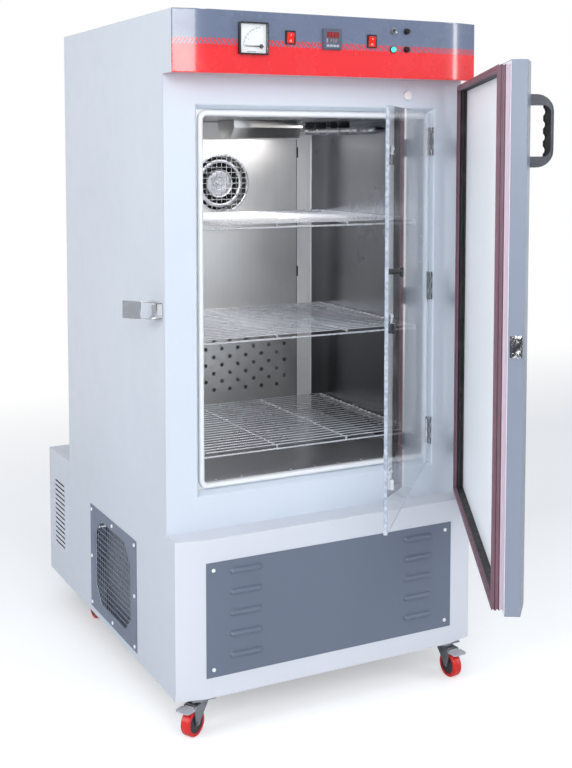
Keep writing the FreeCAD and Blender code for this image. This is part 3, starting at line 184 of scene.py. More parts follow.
def rounded_rectangle(half_x, low, high, radius, steps=6):
    """Points in XZ round a rectangle: each corner is a quarter circle of the radius, from right top on."""
    turn = np.linspace(0, math.pi / 2, steps)
    corners = []
    middles = [(half_x, high), (-half_x, high), (-half_x, low), (half_x, low)]
    inward = [(-1, -1), (1, -1), (1, 1), (-1, 1)]
    for k in range(4):
        cx = middles[k][0] + inward[k][0] * radius
        cz = middles[k][1] + inward[k][1] * radius
        a = turn + k * math.pi / 2
        corners.append(np.stack([cx + radius * np.cos(a), cz + radius * np.sin(a)], -1))
    return np.concatenate(corners)


def nested_rings(rings, steps=6):
    """A skin through rounded rectangles, each (half width, low, high, y, corner radius)."""
    columns = []
    for half_x, low, high, y, radius in rings:
        xz = rounded_rectangle(half_x, low, high, radius, steps)
        columns.append(np.stack([xz[:, 0], np.full(len(xz), y), xz[:, 1]], -1))
    points = np.stack(columns, 1)
    return points, grid_faces(points.shape[0], points.shape[1], wrap_rows=True)


def mouth_ring(half_x, rise, outwards, y, corner):
    """A rectangle about the opening's middle, grown outwards, as nested_rings takes it."""
    reach = rise + outwards
    return (half_x + outwards, opening_middle - reach, opening_middle + reach, y, corner)


def turned_profile(profile, centre, axis, steps=40):
    """A profile of (radius, distance along the axis) carried round the axis through centre."""
    profile = np.asarray(profile, float)
    axis = np.asarray(axis, float) / np.linalg.norm(axis)
    helper = np.array([0.0, 0.0, 1.0]) if abs(axis[2]) < 0.9 else np.array([1.0, 0.0, 0.0])
    across = np.cross(axis, helper)
    across /= np.linalg.norm(across)
    other = np.cross(axis, across)
    a = np.linspace(0, 2 * math.pi, steps, endpoint=False)
    spoke = np.cos(a)[:, None] * across + np.sin(a)[:, None] * other
    outward = spoke[:, None, :] * profile[None, :, 0, None]
    along = axis * profile[None, :, 1, None]
    points = (np.asarray(centre) + outward + along).reshape(-1, 3)
    return points, grid_faces(steps, len(profile), wrap_rows=True)


def eased_copy(node, width, made, segments=2, sharp=32.0):
    """The CAD node's own solid with its doubles merged and every sharp edge rounded by width."""
    source = frame["nodes"][node]
    mesh = source.data.copy()
    mesh.name = node + "_eased"
    mesh.materials.clear()
    mesh.materials.append(finish[made])
    piece = bpy.data.objects.new(node + "_eased", mesh)
    scene.collection.objects.link(piece)
    work = bmesh.new()
    work.from_mesh(mesh)
    bmesh.ops.remove_doubles(work, verts=work.verts, dist=1e-6)
    bmesh.ops.dissolve_limit(work, angle_limit=math.radians(1.0), verts=work.verts, edges=work.edges)
    work.to_mesh(mesh)
    work.free()
    mesh.shade_smooth()
    mesh.set_sharp_from_angle(angle=math.radians(sharp + 25))
    ease = piece.modifiers.new("eased_edges", "BEVEL")
    ease.width = width
    ease.segments = segments
    ease.limit_method = "ANGLE"
    ease.angle_limit = math.radians(sharp)
    ease.harden_normals = False
    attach(piece, source["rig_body"])
    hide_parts(node)
    return piece


def loose_parts(mesh):
    """The mesh's separate solids, each as its face indices, lowest corner and highest corner."""
    work = bmesh.new()
    work.from_mesh(mesh)
    work.faces.ensure_lookup_table()
    seen = np.zeros(len(work.faces), bool)
    found = []
    for first in work.faces:
        if seen[first.index]:
            continue
        stack, group = [first], []
        seen[first.index] = True
        while stack:
            one = stack.pop()
            group.append(one)
            for edge in one.edges:
                for other in edge.link_faces:
                    if not seen[other.index]:
                        seen[other.index] = True
                        stack.append(other)
        corners = np.array([v.co for one in group for v in one.verts])
        found.append(([one.index for one in group], corners.min(0), corners.max(0)))
    work.free()
    return found


def paint_parts(piece, made, test):
    """Gives the finish to each separate solid whose lowest and highest corners pass the test."""
    mesh = piece.data
    mesh.materials.append(finish[made])
    indices = np.zeros(len(mesh.polygons), np.int32)
    for faces, low, high in loose_parts(mesh):
        if test(low, high):
            indices[faces] = 1
    mesh.polygons.foreach_set("material_index", indices)
    mesh.update()


# Finishes
def ink(red, green, blue):
    """A colour as a screen shows it, 0 to 255, as the linear colour that a shader takes."""
    value = np.array([red, green, blue]) / 255.0
    linear = np.where(value <= 0.04045, value / 12.92, ((value + 0.055) / 1.055) ** 2.4)
    return (float(linear[0]), float(linear[1]), float(linear[2]), 1.0)


def plug(tree, value, socket):
    """Sets a socket to a number or a colour, or links another node's output to it."""
    if isinstance(value, (int, float, tuple)):
        socket.default_value = value
    else:
        tree.links.new(value, socket)


def fill(tree, node, values):
    """Plugs each value into the node's input that its key names or counts."""
    for key, value in values.items():
        plug(tree, value, node.inputs[key])


def add_node(tree, kind, values=None):
    """A new shading node of the kind with its inputs filled."""
    node = tree.nodes.new("ShaderNode" + kind)
    fill(tree, node, values or {})
    return node


def noise(tree, vector, scale, detail=2.0, roughness=0.5):
    """Cloudy noise between 0 and 1 at the vector."""
    values = {"Vector": vector, "Scale": scale, "Detail": detail, "Roughness": roughness}
    return add_node(tree, "TexNoise", values).outputs["Fac"]


def spread(tree, value, low, high, new_low=0.0, new_high=1.0):
    """The value's range low to high carried to new_low to new_high, held at both ends."""
    values = {"Value": value, "From Min": low, "From Max": high, "To Min": new_low, "To Max": new_high}
    return add_node(tree, "MapRange", values).outputs["Result"]


def maths(tree, operation, first, second):
    """The operation on two values, each a number or another node's output."""
    node = add_node(tree, "Math", {0: first, 1: second})
    node.operation = operation
    return node.outputs[0]


def blend_colour(tree, share, first, second):
    """The first colour at a share of 0, the second at 1."""
    node = tree.nodes.new("ShaderNodeMix")
    node.data_type = "RGBA"
    fill(tree, node, {0: share, 6: first, 7: second})
    return node.outputs[2]


def blend_shader(tree, share, first, second):
    """The first node's shading at a share of 0, the second's at 1."""
    values = {0: share, 1: first.outputs[0], 2: second.outputs[0]}
    return add_node(tree, "MixShader", values).outputs[0]


def brightened(tree, colour, value):
    """The colour with its brightness multiplied by the value."""
    return add_node(tree, "HueSaturation", {"Color": colour, "Value": value}).outputs["Color"]


def axes(tree, where):
    """The X, Y and Z of a place."""
    return add_node(tree, "SeparateXYZ", {0: where}).outputs


def new_group(name, more_inputs):
    """A node group that takes coordinates, a colour, a gloss and more inputs, each with its kind.

    It gives a colour, a roughness and a height. What it takes and what it gives come back beside it."""
    group = bpy.data.node_groups.new(name, "ShaderNodeTree")
    taken = {"Vector": "Vector", "Colour": "Color", "Gloss": "Float", **more_inputs}
    given = {"Colour": "Color", "Roughness": "Float", "Height": "Float"}
    for way, sockets in (("INPUT", taken), ("OUTPUT", given)):
        for label, kind in sockets.items():
            group.interface.new_socket(label, in_out=way, socket_type="NodeSocket" + kind)
    start = group.nodes.new("NodeGroupInput")
    end = group.nodes.new("NodeGroupOutput")
    return group, start.outputs, end.inputs


def make_paint_group():
    """Sprayed enamel: slow drift of the colour, soft handling marks and the peel of the dried coat."""
    group, taken, given = new_group("sprayed_enamel", {"Drift": "Float"})
    place = taken["Vector"]
    slow = spread(group, noise(group, place, 2.2, 3.0), 0.3, 0.7, -1.0, 1.0)
    level = maths(group, "ADD", maths(group, "MULTIPLY", slow, taken["Drift"]), 1.0)
    group.links.new(brightened(group, taken["Colour"], level), given["Colour"])
    marks = spread(group, noise(group, place, 14.0, 6.0, 0.65), 0.45, 0.7, 0.0, 0.12)
    group.links.new(maths(group, "ADD", marks, taken["Gloss"]), given["Roughness"])
    group.links.new(noise(group, place, 150.0, 1.0), given["Height"])
    return group


def make_grain_group():
    """Rolled or brushed metal: long fine lines along one way, faint clouding and rubbed patches."""
    group, taken, given = new_group("rolled_grain", {"Stretch": "Vector", "Depth": "Float"})
    place, depth = taken["Vector"], taken["Depth"]
    pulled = add_node(group, "VectorMath", {0: place, 1: taken["Stretch"]})
    pulled.operation = "MULTIPLY"
    lines = noise(group, pulled.outputs[0], 1.0, 3.0, 0.6)
    cloud = noise(group, place, 5.0, 4.0)
    streak = maths(group, "MULTIPLY", spread(group, lines, 0.3, 0.7, -0.5, 0.5), depth)
    clouded = spread(group, cloud, 0.3, 0.7, 0.94, 1.04)
    tone = maths(group, "MULTIPLY", maths(group, "ADD", streak, 1.0), clouded)
    group.links.new(brightened(group, taken["Colour"], tone), given["Colour"])
    rough = maths(group, "MULTIPLY", spread(group, lines, 0.3, 0.7, 0.0, 0.5), depth)
    rough = maths(group, "ADD", rough, spread(group, cloud, 0.35, 0.75, 0.0, 0.07))
    group.links.new(maths(group, "ADD", rough, taken["Gloss"]), given["Roughness"])
    group.links.new(lines, given["Height"])
    return group


def make_moulded_group():
    """Moulded plastic or rubber: a fine pebble, dull rubbed patches and a little dust."""
    group, taken, given = new_group("moulded_skin", {"Dust": "Color", "Pebble": "Float"})
    place = taken["Vector"]
    patch = spread(group, noise(group, place, 26.0, 5.0, 0.6), 0.5, 0.8, 0.0, 0.22)
    group.links.new(blend_colour(group, patch, taken["Colour"], taken["Dust"]), given["Colour"])
    wear = spread(group, noise(group, place, 60.0, 4.0), 0.3, 0.7, -0.06, 0.1)
    group.links.new(maths(group, "ADD", wear, taken["Gloss"]), given["Roughness"])
    pebble = add_node(group, "TexVoronoi", {"Scale": taken["Pebble"], "Vector": place})
    group.links.new(pebble.outputs["Distance"], given["Height"])
    return group


paint_group = make_paint_group()
grain_group = make_grain_group()
moulded_group = make_moulded_group()


def new_finish(name):
    """A material with one shader: gives the material, its tree, the shader and the Object coordinates."""
    made = bpy.data.materials.new(name)
    made.use_nodes = True
    tree = made.node_tree
    tree.nodes.clear()
    shader = add_node(tree, "BsdfPrincipled")
    add_node(tree, "OutputMaterial", {"Surface": shader.outputs[0]})
    return made, tree, shader, add_node(tree, "TexCoord").outputs["Object"]


def surface(tree):
    """The socket that takes the material's shading."""
    return [node for node in tree.nodes if node.type == "OUTPUT_MATERIAL"][0].inputs["Surface"]


def place_group(tree, group, where, values):
    """The outputs of the group placed in a material at the coordinates, with its values plugged in."""
    node = tree.nodes.new("ShaderNodeGroup")
    node.node_tree = group
    fill(tree, node, {"Vector": where, **values})
    return node.outputs


def raise_from(tree, height, shader, strength, distance):
    """Bumps the shader's normal by a height."""
    bump = add_node(tree, "Bump", {"Strength": strength, "Distance": distance, "Height": height})
    tree.links.new(bump.outputs["Normal"], shader.inputs["Normal"])


def wear_skin(tree, skin, shader, strength, distance):
    """Gives the shader the placed group's colour, roughness and height."""
    fill(tree, shader, {"Base Color": skin["Colour"], "Roughness": skin["Roughness"]})
    raise_from(tree, skin["Height"], shader, strength, distance)


def enamel(name, colour, gloss, drift, peel=0.02, sheen=0.5):
    """Sprayed paint on sheet metal; peel is the strength of its bump, sheen its reflection straight on."""
    made, tree, shader, where = new_finish(name)
    skin = place_group(tree, paint_group, where, {"Colour": colour, "Gloss": gloss, "Drift": drift})
    wear_skin(tree, skin, shader, peel, 0.0002)
    shader.inputs["Specular IOR Level"].default_value = sheen
    return made


def metal(name, colour, gloss, stretch, depth=0.2, bump=0.06):
    """Plated or rolled metal; stretch squeezes the grain along each axis, depth is how much it shows."""
    made, tree, shader, where = new_finish(name)
    values = {"Colour": colour, "Gloss": gloss, "Stretch": stretch, "Depth": depth}
    wear_skin(tree, place_group(tree, grain_group, where, values), shader, bump, 0.0003)
    shader.inputs["Metallic"].default_value = 1.0
    return made


def moulded(name, colour, gloss, pebble, dust, bump=0.12):
    """Plastic or foam; pebble is how many grains stand on a metre, dust the colour of rubbed patches."""
    made, tree, shader, where = new_finish(name)
    values = {"Colour": colour, "Dust": dust, "Gloss": gloss, "Pebble": pebble}
    wear_skin(tree, place_group(tree, moulded_group, where, values), shader, bump, 0.0002)
    return made


def printed_fascia():
    """Slate above and red below, with slanted strokes where the two inks meet.

    Within the band's half height the ink follows a folded saw tooth of x less a slant of z."""
    made, tree, shader, where = new_finish("fascia_print")
    at = axes(tree, where)
    rise = maths(tree, "SUBTRACT", at["Z"], band_z)
    slanted = maths(tree, "SUBTRACT", at["X"], maths(tree, "MULTIPLY", rise, 0.6))
    stroke = maths(tree, "PINGPONG", maths(tree, "MULTIPLY", slanted, 1.0 / stroke_pitch), 0.5)
    blur = 0.0001
    under = spread(tree, rise, -band_half - blur, -band_half + blur, -1.0, 0.0)
    over = spread(tree, rise, band_half - blur, band_half + blur)
    edge = maths(tree, "ADD", maths(tree, "ADD", under, over), maths(tree, "SUBTRACT", stroke, 0.25))
    above = spread(tree, edge, -0.02, 0.02)
    colour = blend_colour(tree, above, ink(228, 30, 40), ink(99, 111, 137))
    skin = place_group(tree, paint_group, where, {"Colour": colour, "Gloss": 0.24, "Drift": 0.03})
    wear_skin(tree, skin, shader, 0.02, 0.0002)
    fill(tree, shader, {"Coat Weight": 1.0, "Coat Roughness": 0.08})
    return made


def polished_wall(name, colour, gloss, stretch, dull=1.0):
    """Mirror-rolled sheet: grain as the other metals have, slow waves where the sheet isn't flat.

    Its colour falls to the dull share of itself from mid height down to the floor: painted shade, darker
    towards the bottom."""
    made, tree, shader, where = new_finish(name)
    # Painted shade: the colour darkens from mid height down to the floor, to the dull share of itself.
    cloud = maths(tree, "MULTIPLY", noise(tree, where, 3.0, 3.0), 0.16)
    share = spread(tree, maths(tree, "ADD", axes(tree, where)["Z"], cloud), 0.68, 1.18, 1.0, 0.0)
    painted_shade_colour = tuple(part * dull for part in colour[:3]) + (1.0,)
    shown = blend_colour(tree, share, colour, painted_shade_colour)
    values = {"Colour": shown, "Gloss": gloss, "Stretch": stretch, "Depth": 0.03}
    grain = place_group(tree, grain_group, where, values)
    fill(tree, shader, {"Base Color": grain["Colour"], "Roughness": grain["Roughness"], "Metallic": 1.0})
    waves = noise(tree, where, 3.5, 0.0)
    fine = maths(tree, "MULTIPLY", grain["Height"], 0.0012)
    raise_from(tree, maths(tree, "ADD", waves, fine), shader, 0.12, 0.003)
    return made


def clear_sheet(name, colour, roughness):
    """Clear plastic or glass with a faint haze, which lets shadow and diffuse rays straight through."""
    made, tree, shader, where = new_finish(name)
    haze = spread(tree, noise(tree, where, 9.0, 5.0), 0.45, 0.75, roughness, roughness + 0.05)
    fill(tree, shader, {"Base Color": colour, "Transmission Weight": 1.0, "IOR": 1.49, "Roughness": haze})
    clear = add_node(tree, "BsdfTransparent", {"Color": colour})
    path = add_node(tree, "LightPath").outputs
    passed = maths(tree, "MAXIMUM", path["Is Shadow Ray"], path["Is Diffuse Ray"])
    tree.links.new(blend_shader(tree, passed, shader, clear), surface(tree))
    return made


def sawn_edge():
    """The pane's cut edges: light caught in the thickness, with fine saw marks across it."""
    made, tree, shader, where = new_finish("sawn_acrylic_edge")
    marks = noise(tree, where, 120.0, 3.0)
    caught = blend_colour(tree, spread(tree, marks, 0.35, 0.65), ink(158, 170, 188), ink(206, 216, 230))
    raise_from(tree, marks, shader, 0.2, 0.0004)
    fill(tree, shader, {"Base Color": caught, "Roughness": 0.25, "Transmission Weight": 0.25, "IOR": 1.49})
    return made


def soft_rubber(name, gloss, dust):
    """Rubber whose colour, painted shade included, is given point by point along its section, with a fine
    pebble and dust.
    """
    made, tree, shader, where = new_finish(name)
    layer = add_node(tree, "Attribute")
    layer.attribute_name = "layer_colour"
    painted = layer.outputs["Color"]
    values = {"Colour": painted, "Dust": dust, "Gloss": gloss, "Pebble": 700.0}
    skin = place_group(tree, moulded_group, where, values)
    shown = blend_colour(tree, 0.35, painted, skin["Colour"])
    fill(tree, shader, {"Base Color": shown, "Roughness": skin["Roughness"]})
    raise_from(tree, skin["Height"], shader, 0.05, 0.0002)
    return made


def lit_lens(name, colour, glow):
    """A glowing lens or display with small moulded facets."""
    made, tree, shader, where = new_finish(name)
    facet = add_node(tree, "TexVoronoi", {"Scale": 420.0, "Vector": where})
    shown = brightened(tree, colour, spread(tree, facet.outputs["Distance"], 0.0, 0.8, 0.75, 1.1))
    fill(tree, shader, {"Base Color": shown, "Emission Color": shown, "Emission Strength": glow})
    fill(tree, shader, {"Roughness": 0.18, "Coat Weight": 0.6})
    return made


def finned_block():
    """Thin upright fins: a saw tooth along y darkens the gaps with painted shade and raises the fins."""
    made, tree, shader, where = new_finish("fin_block")
    fins = maths(tree, "MULTIPLY", axes(tree, where)["Y"], 1.0 / fin_pitch)
    fin = maths(tree, "PINGPONG", fins, 0.5)
    # Painted shade: the gaps between the fins are dark.
    colour = blend_colour(tree, spread(tree, fin, 0.05, 0.35), ink(45, 47, 50), ink(178, 181, 186))
    worn = spread(tree, noise(tree, where, 30.0, 4.0), 0.3, 0.7, 0.35, 0.6)
    fill(tree, shader, {"Base Color": colour, "Roughness": worn, "Metallic": 0.8})
    raise_from(tree, fin, shader, 0.6, 0.001)
    return made


finish = {
    "cabinet": enamel("cabinet_enamel", ink(185, 192, 202), 0.36, 0.02),
    "frame": enamel("frame_enamel", ink(207, 216, 227), 0.30, 0.015),
    "door": enamel("door_enamel", ink(127, 136, 153), 0.34, 0.02),
    # The base takes the frame's paint made darker: painted shade for the dimmer lower part.
    "base": enamel("base_enamel_painted_shade", ink(206, 210, 219), 0.34, 0.015),
    "lining": enamel("door_lining_enamel", ink(247, 250, 254), 0.50, 0.01, 0.002, 0.2),
    "grey": enamel("cover_enamel", ink(99, 109, 127), 0.42, 0.03),
    "fascia": printed_fascia(),
    # The last number of each polished wall is the share of its colour kept at the floor: painted shade
    # towards the bottom.
    "side_wall": polished_wall("side_wall_mirror", ink(146, 149, 156), 0.22, (3.0, 260.0, 3.0), 0.34),
    "floor_wall": polished_wall("floor_wall_mirror", ink(166, 167, 171), 0.28, (3.0, 300.0, 300.0)),
    "rear_wall": polished_wall("rear_wall_mirror", ink(255, 253, 252), 0.44, (260.0, 3.0, 3.0), 0.9),
    "duct": polished_wall("duct_mirror", ink(250, 247, 244), 0.32, (220.0, 3.0, 3.0), 0.56),
    "wire": metal("shelf_wire", ink(222, 223, 226), 0.24, (60.0, 60.0, 60.0), 0.03, 0.0),
    "blower": metal("blower_plate", ink(226, 227, 231), 0.36, (60.0, 60.0, 60.0), 0.03, 0.0),
    "chrome": metal("chrome_plate", ink(214, 216, 220), 0.10, (90.0, 90.0, 300.0), 0.08),
    "zinc": metal("zinc_plate", ink(150, 153, 160), 0.36, (70.0, 70.0, 70.0), 0.35),
    "steel": metal("plain_sheet_steel", ink(170, 172, 176), 0.30, (300.0, 6.0, 300.0), 0.25),
    "seal": soft_rubber("door_seal_rubber", 0.45, ink(170, 150, 162)),
    "bulb": soft_rubber("mouth_seal_silicone", 0.36, ink(226, 228, 230)),
    "pane": clear_sheet("clear_acrylic", (0.96, 0.98, 0.99, 1.0), 0.01),
    "pane_edge": sawn_edge(),
    "glass": clear_sheet("meter_window_glass", (0.98, 0.99, 0.99, 1.0), 0.02),
    "black": moulded("black_moulding", ink(24, 24, 27), 0.30, 1200.0, ink(60, 60, 64), 0.06),
    "grip": moulded("grip_rubber", ink(7, 7, 9), 0.75, 800.0, ink(16, 16, 18)),
    "handle": moulded("handle_moulding", ink(52, 57, 68), 0.38, 900.0, ink(84, 88, 98)),
    "red_switch": moulded("red_switch_moulding", ink(232, 36, 24), 0.25, 1500.0, ink(240, 90, 70), 0.04),
    "white": moulded("white_moulding", ink(236, 237, 240), 0.30, 1300.0, ink(210, 212, 216), 0.05),
    "tread": moulded("tread_polyurethane", ink(206, 26, 26), 0.26, 1000.0, ink(150, 40, 38), 0.08),
    "hub": moulded("wheel_hub_moulding", ink(40, 38, 42), 0.42, 900.0, ink(110, 106, 106)),
    "pedal": moulded("pedal_moulding", ink(168, 170, 178), 0.40, 900.0, ink(120, 120, 126)),
    "lamp": lit_lens("lamp_lens", ink(60, 232, 198), 0.6),
    "display": lit_lens("display_glow", ink(120, 18, 24), 0.12),
    "digits": lit_lens("digit_glow", ink(158, 66, 72), 0.1),
    "controller": moulded("controller_moulding", ink(78, 84, 102), 0.36, 1400.0, ink(96, 100, 112), 0.03),
    "keypad": moulded("keypad_film", ink(86, 92, 112), 0.35, 1500.0, ink(110, 114, 126), 0.03),
    "key": moulded("keypad_keys", ink(176, 180, 190), 0.4, 1500.0, ink(140, 144, 150), 0.03),
    "lower_display": lit_lens("lower_display_glow", ink(92, 88, 98), 0.05),
    "dim_digits": lit_lens("dim_digit_glow", ink(176, 168, 176), 0.2),
    "dark": enamel("machine_enamel", ink(34, 35, 38), 0.38, 0.08),
    "fins": finned_block(),
    "tank": moulded("tank_moulding", ink(222, 226, 226), 0.45, 500.0, ink(190, 194, 194)),
    "foam": moulded("foam_slab", ink(226, 214, 176), 0.8, 300.0, ink(200, 186, 150), 0.4),
    "diffuser": moulded("lamp_diffuser", ink(212, 216, 222), 0.40, 600.0, ink(180, 184, 190)),
}


def dress(node, name):
    """Gives its finish to a CAD node that keeps its own shape."""
    holder = frame["nodes"][node]
    holder.data.materials.clear()
    holder.data.materials.append(finish[name])


# The cabinet
def dress_cabinet():
    """Panels, base and covers keep their CAD shapes with eased edges."""
    for node in ("left_side_panel", "right_side_panel", "top_panel", "rear_panel", "machine_box"):
        eased_copy(node, 0.0005, "cabinet")
    # The base front's finish is the frame's paint darkened as painted shade.
    eased_copy("base_front", 0.0007, "base")
    eased_copy("base_tray", 0.0005, "steel")
    eased_copy("side_grille", 0.0003, "grey", 1)
    eased_copy("cover_screws", 0.0002, "white", 1)


def front_frame():
    """Nested rectangles from the outer edge, over a small bend at the opening, down the tapered reveal."""
    bend, corner, outer_corner = 0.0018, 0.0012, 0.0003
    outer = (half - sheet, base_top, fascia_bottom)
    rings = [(*outer, y, outer_corner) for y in (frame_face + sheet, frame_face)]
    steps = [(0.004, frame_face), (bend, frame_face)]
    steps += [(bend * 0.3, frame_face + bend * 0.35), (-bend * 0.3, frame_face + bend)]
    for outwards, y in steps:
        rings.append(mouth_ring(opening_half, opening_rise, outwards, y, corner))
    for outwards in (0.0, sheet):
        rings.append(mouth_ring(seat_half, seat_rise, outwards, seat_face, corner))
    points, faces = nested_rings(rings)
    piece = build("front_frame_skin", points, faces, "frame", "cabinet", "frame_paint", 50.0)
    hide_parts("front_frame")


def bent_fascia():
    """The fascia's outline in XY, softly bent, carried from its lower edge to the roof, and its underside."""
    right = [(flat_half, face), (half, front), (half, front + sheet)]
    left = [(-x, y) for x, y in right[::-1]]
    edge_bend, wing_bend = 0.003, 0.045
    outline = bent_line(left + right, [0.0, edge_bend, wing_bend, wing_bend, edge_bend, 0.0])
    rise, ease = height - fascia_bottom, 0.0006
    levels = fascia_bottom + np.array([0.0, ease, 0.0025, rise / 2, rise - 0.0025, rise - ease, rise])
    inset = np.array([ease, 0.0, 0.0, 0.0, 0.0, 0.0, ease])
    rows = []
    for z, back_off in zip(levels, inset):
        across = outline[:, 0] * (1 - back_off / half)
        rows.append(np.column_stack([across, outline[:, 1] + back_off * 0.7, np.full(len(outline), z)]))
    wall = (np.stack(rows), grid_faces(len(levels), len(outline))[:, ::-1])
    inner = rows[0].copy()
    inner[:, 1] = frame_face + sheet
    return joined([wall, (np.stack([rows[0], inner]), grid_faces(2, len(outline)))])


def bent_line(corner, radii, steps=9):
    """A line of straight runs whose corners become curves, each from a start to an end that lie at the
    corner's radius along its two runs: (1 - t) squared of the start, 2 t (1 - t) of the corner and
    t squared of the end, with t from 0 to 1."""
    corner = np.asarray(corner, float)
    points = [corner[:1]]
    share = np.linspace(0, 1, steps)[:, None]
    for i in range(1, len(corner) - 1):
        before, here, after = corner[i - 1], corner[i], corner[i + 1]
        reach = radii[i]
        a = here + (before - here) * min(reach / np.linalg.norm(before - here), 0.5)
        b = here + (after - here) * min(reach / np.linalg.norm(after - here), 0.5)
        points.append((1 - share) ** 2 * a + 2 * share * (1 - share) * here + share ** 2 * b)
    points.append(corner[-1:])
    return np.concatenate(points)


def fascia_skin():
    """The bent fascia in its printed finish, in place of the CAD sheet."""
    points, faces = bent_fascia()
    piece = build("fascia_skin", points, faces, "fascia", "cabinet", "fascia_paint", 50.0)
    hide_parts("control_fascia")


def louvre_rise(x, z):
    """Height of the pressed cover over its own face.

    Each louvre is a capsule of x and z that swells from its outline to its middle line and drops
    straight at its lower lip."""
    total = np.zeros_like(x)
    tall, straight = louvre_height, louvre_length / 2 - louvre_height / 2
    for side in (-louvre_x, louvre_x):
        for i in range(louvres_each_side):
            middle = louvre_lowest + i * louvre_pitch
            along = np.clip(np.abs(x - side) - straight, 0, None)
            off = np.sqrt(along ** 2 + (z - middle) ** 2) / (tall / 2)
            swell = np.clip(1 - off ** 2, 0, 1) ** 0.4
            lip = np.clip((z - middle + tall * 0.40) / (tall * 0.10), 0, 1)
            total = np.maximum(total, louvre_depth * swell * lip)
    return total


def service_cover():
    """A plate whose front is a grid of x and z raised by the louvres, with a folded rim."""
    skin = face - sheet
    x = np.linspace(-cover_half, cover_half, 421)
    z = np.linspace(cover_bottom, cover_top, 225)
    gx, gz = np.meshgrid(x, z, indexing="ij")
    gy = skin - louvre_rise(gx, gz)
    front_side = (np.stack([gx, gy, gz], -1), grid_faces(len(x), len(z)))
    across = [-cover_half, cover_half, cover_half, -cover_half]
    upwards = [cover_bottom, cover_bottom, cover_top, cover_top]
    rim = np.stack([np.column_stack([across, np.full(4, y), upwards]) for y in (skin, face)])
    points, faces = joined([front_side, (rim, grid_faces(2, 4, wrap_columns=True))])
    piece = build("service_cover", points, faces, "grey", "cabinet", "grey_panel_paint", 50.0)
    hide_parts("service_panel")


# The chamber
def chamber_skin():
    """Nested rectangles from the mouth flange back along the walls, closed by the rear wall."""
    corner, bend = 0.003, 0.0015
    steps = [(bend, seat_face), (bend * 0.3, seat_face + bend * 0.3), (0.0, seat_face + bend)]
    steps += [(0.0, y) for y in np.linspace(seat_face + 0.04, chamber_back - corner, 8)]
    steps += [(-0.001, chamber_back - 0.001), (-0.004, chamber_back)]
    rings = [mouth_ring(seat_half, seat_rise, 0.0, seat_face, 0.0012)]
    rings += [mouth_ring(chamber_half, chamber_rise, outwards, y, corner) for outwards, y in steps]
    points, faces = nested_rings(rings)
    around, along = points.shape[:2]
    faces = faces.tolist()
    faces.append([i * along + along - 1 for i in range(around)])
    piece = build("chamber_skin", points, faces, "side_wall", "cabinet", "mirror_steel", 40.0)
    mesh = piece.data
    mesh.materials.append(finish["floor_wall"])
    mesh.materials.append(finish["rear_wall"])
    normals = np.zeros(len(mesh.polygons) * 3)
    mesh.polygons.foreach_get("normal", normals)
    normals = np.abs(normals.reshape(-1, 3))
    pick = np.where(normals[:, 2] > 0.7, 1, np.where(normals[:, 1] > 0.7, 2, 0)).astype(np.int32)
    mesh.polygons.foreach_set("material_index", pick)
    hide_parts("chamber_liner")


def mouth_bulb():
    """A bulb seal: a half ellipse on a low foot, carried round the seat's rounded rectangle, painted darker
    at the foot as shade.
    """
    edge, width, foot, rise, corner = 0.001, 0.014, 0.0022, 0.0087, 0.024
    a = np.linspace(0, math.pi, 15)
    dome = np.column_stack([edge + width / 2 * (1 - np.cos(a)), foot + (rise - foot) * np.sin(a)])
    rings = []
    for inset, up in [(edge, 0.0), *dome, (edge + width, 0.0)]:
        rings.append(mouth_ring(seat_half, seat_rise, -inset, seat_face - up, corner - inset))
    points, faces = nested_rings(rings, 12)
    piece = build("mouth_bulb", points, faces, "bulb", "cabinet", "pale_rubber", 60.0)
    # Painted shade: the colour darkens from the crest down to the foot.
    crest = (seat_face - points[:, :, 1]).reshape(-1, 1) / rise
    foot_shade_tone, high_tone = np.array(ink(170, 174, 180)), np.array(ink(232, 234, 238))
    layer_colours(piece, foot_shade_tone * (1 - crest) + high_tone * crest)
    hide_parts("mouth_seal")


def blower():
    """The wheel seen through its guard: dark blades between a bright front ring and a dished centre.

    A blade runs outwards while it turns: its angle and its radius both grow evenly from root to tip."""
    y, back = duct_face + 0.006, (0, 1, 0)
    ring = [(0.0575, 0.001), (0.0590, 0.0), (0.0660, 0.0), (0.0675, 0.001), (0.0675, 0.004)]
    ring += [(0.0575, 0.004), ring[0]]
    nut = [(0.0, 0.004), (0.006, 0.004), (0.0065, 0.0045), (0.0065, 0.010), (0.015, 0.010)]
    dish = [(0.0165, 0.0085), (0.018, 0.008), (0.034, 0.0095), (0.0375, 0.0065), (0.0395, 0.006)]
    dish += [(0.0405, 0.007), (0.041, 0.028), (0.0, 0.028)]
    turned = [turned_profile(p, (blower_x, y, blower_z), back, 64) for p in (ring, nut + dish)]
    body, slot = "chamber_blower", "fin_aluminium"
    faced_out(build("blower_bright_parts", *joined(turned), "blower", body, slot))
    count, steps, thick, twist = 18, 7, 0.0012, 0.55
    root, reach, near, far = 0.042, 0.031, 0.0045, 0.027
    share = np.linspace(0, 1, steps)
    radius = root + reach * share
    ends = np.array([3, 2, 1, 0]), np.arange(4) + (steps - 1) * 4
    blades = []
    for i in range(count):
        a = 2 * math.pi * i / count + twist * share
        x, z = blower_x + radius * np.cos(a), blower_z + radius * np.sin(a)
        lines = []
        for off, depth in ((-thick / 2, near), (thick / 2, near), (thick / 2, far), (-thick / 2, far)):
            place = [x - off * np.sin(a), np.full(steps, y + depth), z + off * np.cos(a)]
            lines.append(np.column_stack(place))
        blades.append((np.stack(lines, 1), [*grid_faces(steps, 4, wrap_columns=True), *ends]))
    rim, thickness = 0.075, 0.0015
    disc = [(0.0, 0.0), (rim, 0.0), (rim, thickness), (0.0, thickness)]
    plate = turned_profile(disc, (blower_x, y + far + 0.0005, blower_z), back, 64)
    dark = build("blower_blades", *joined(blades + [plate]), "dark", body, slot)
    faced_out(dark)
    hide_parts("blower_wheel")


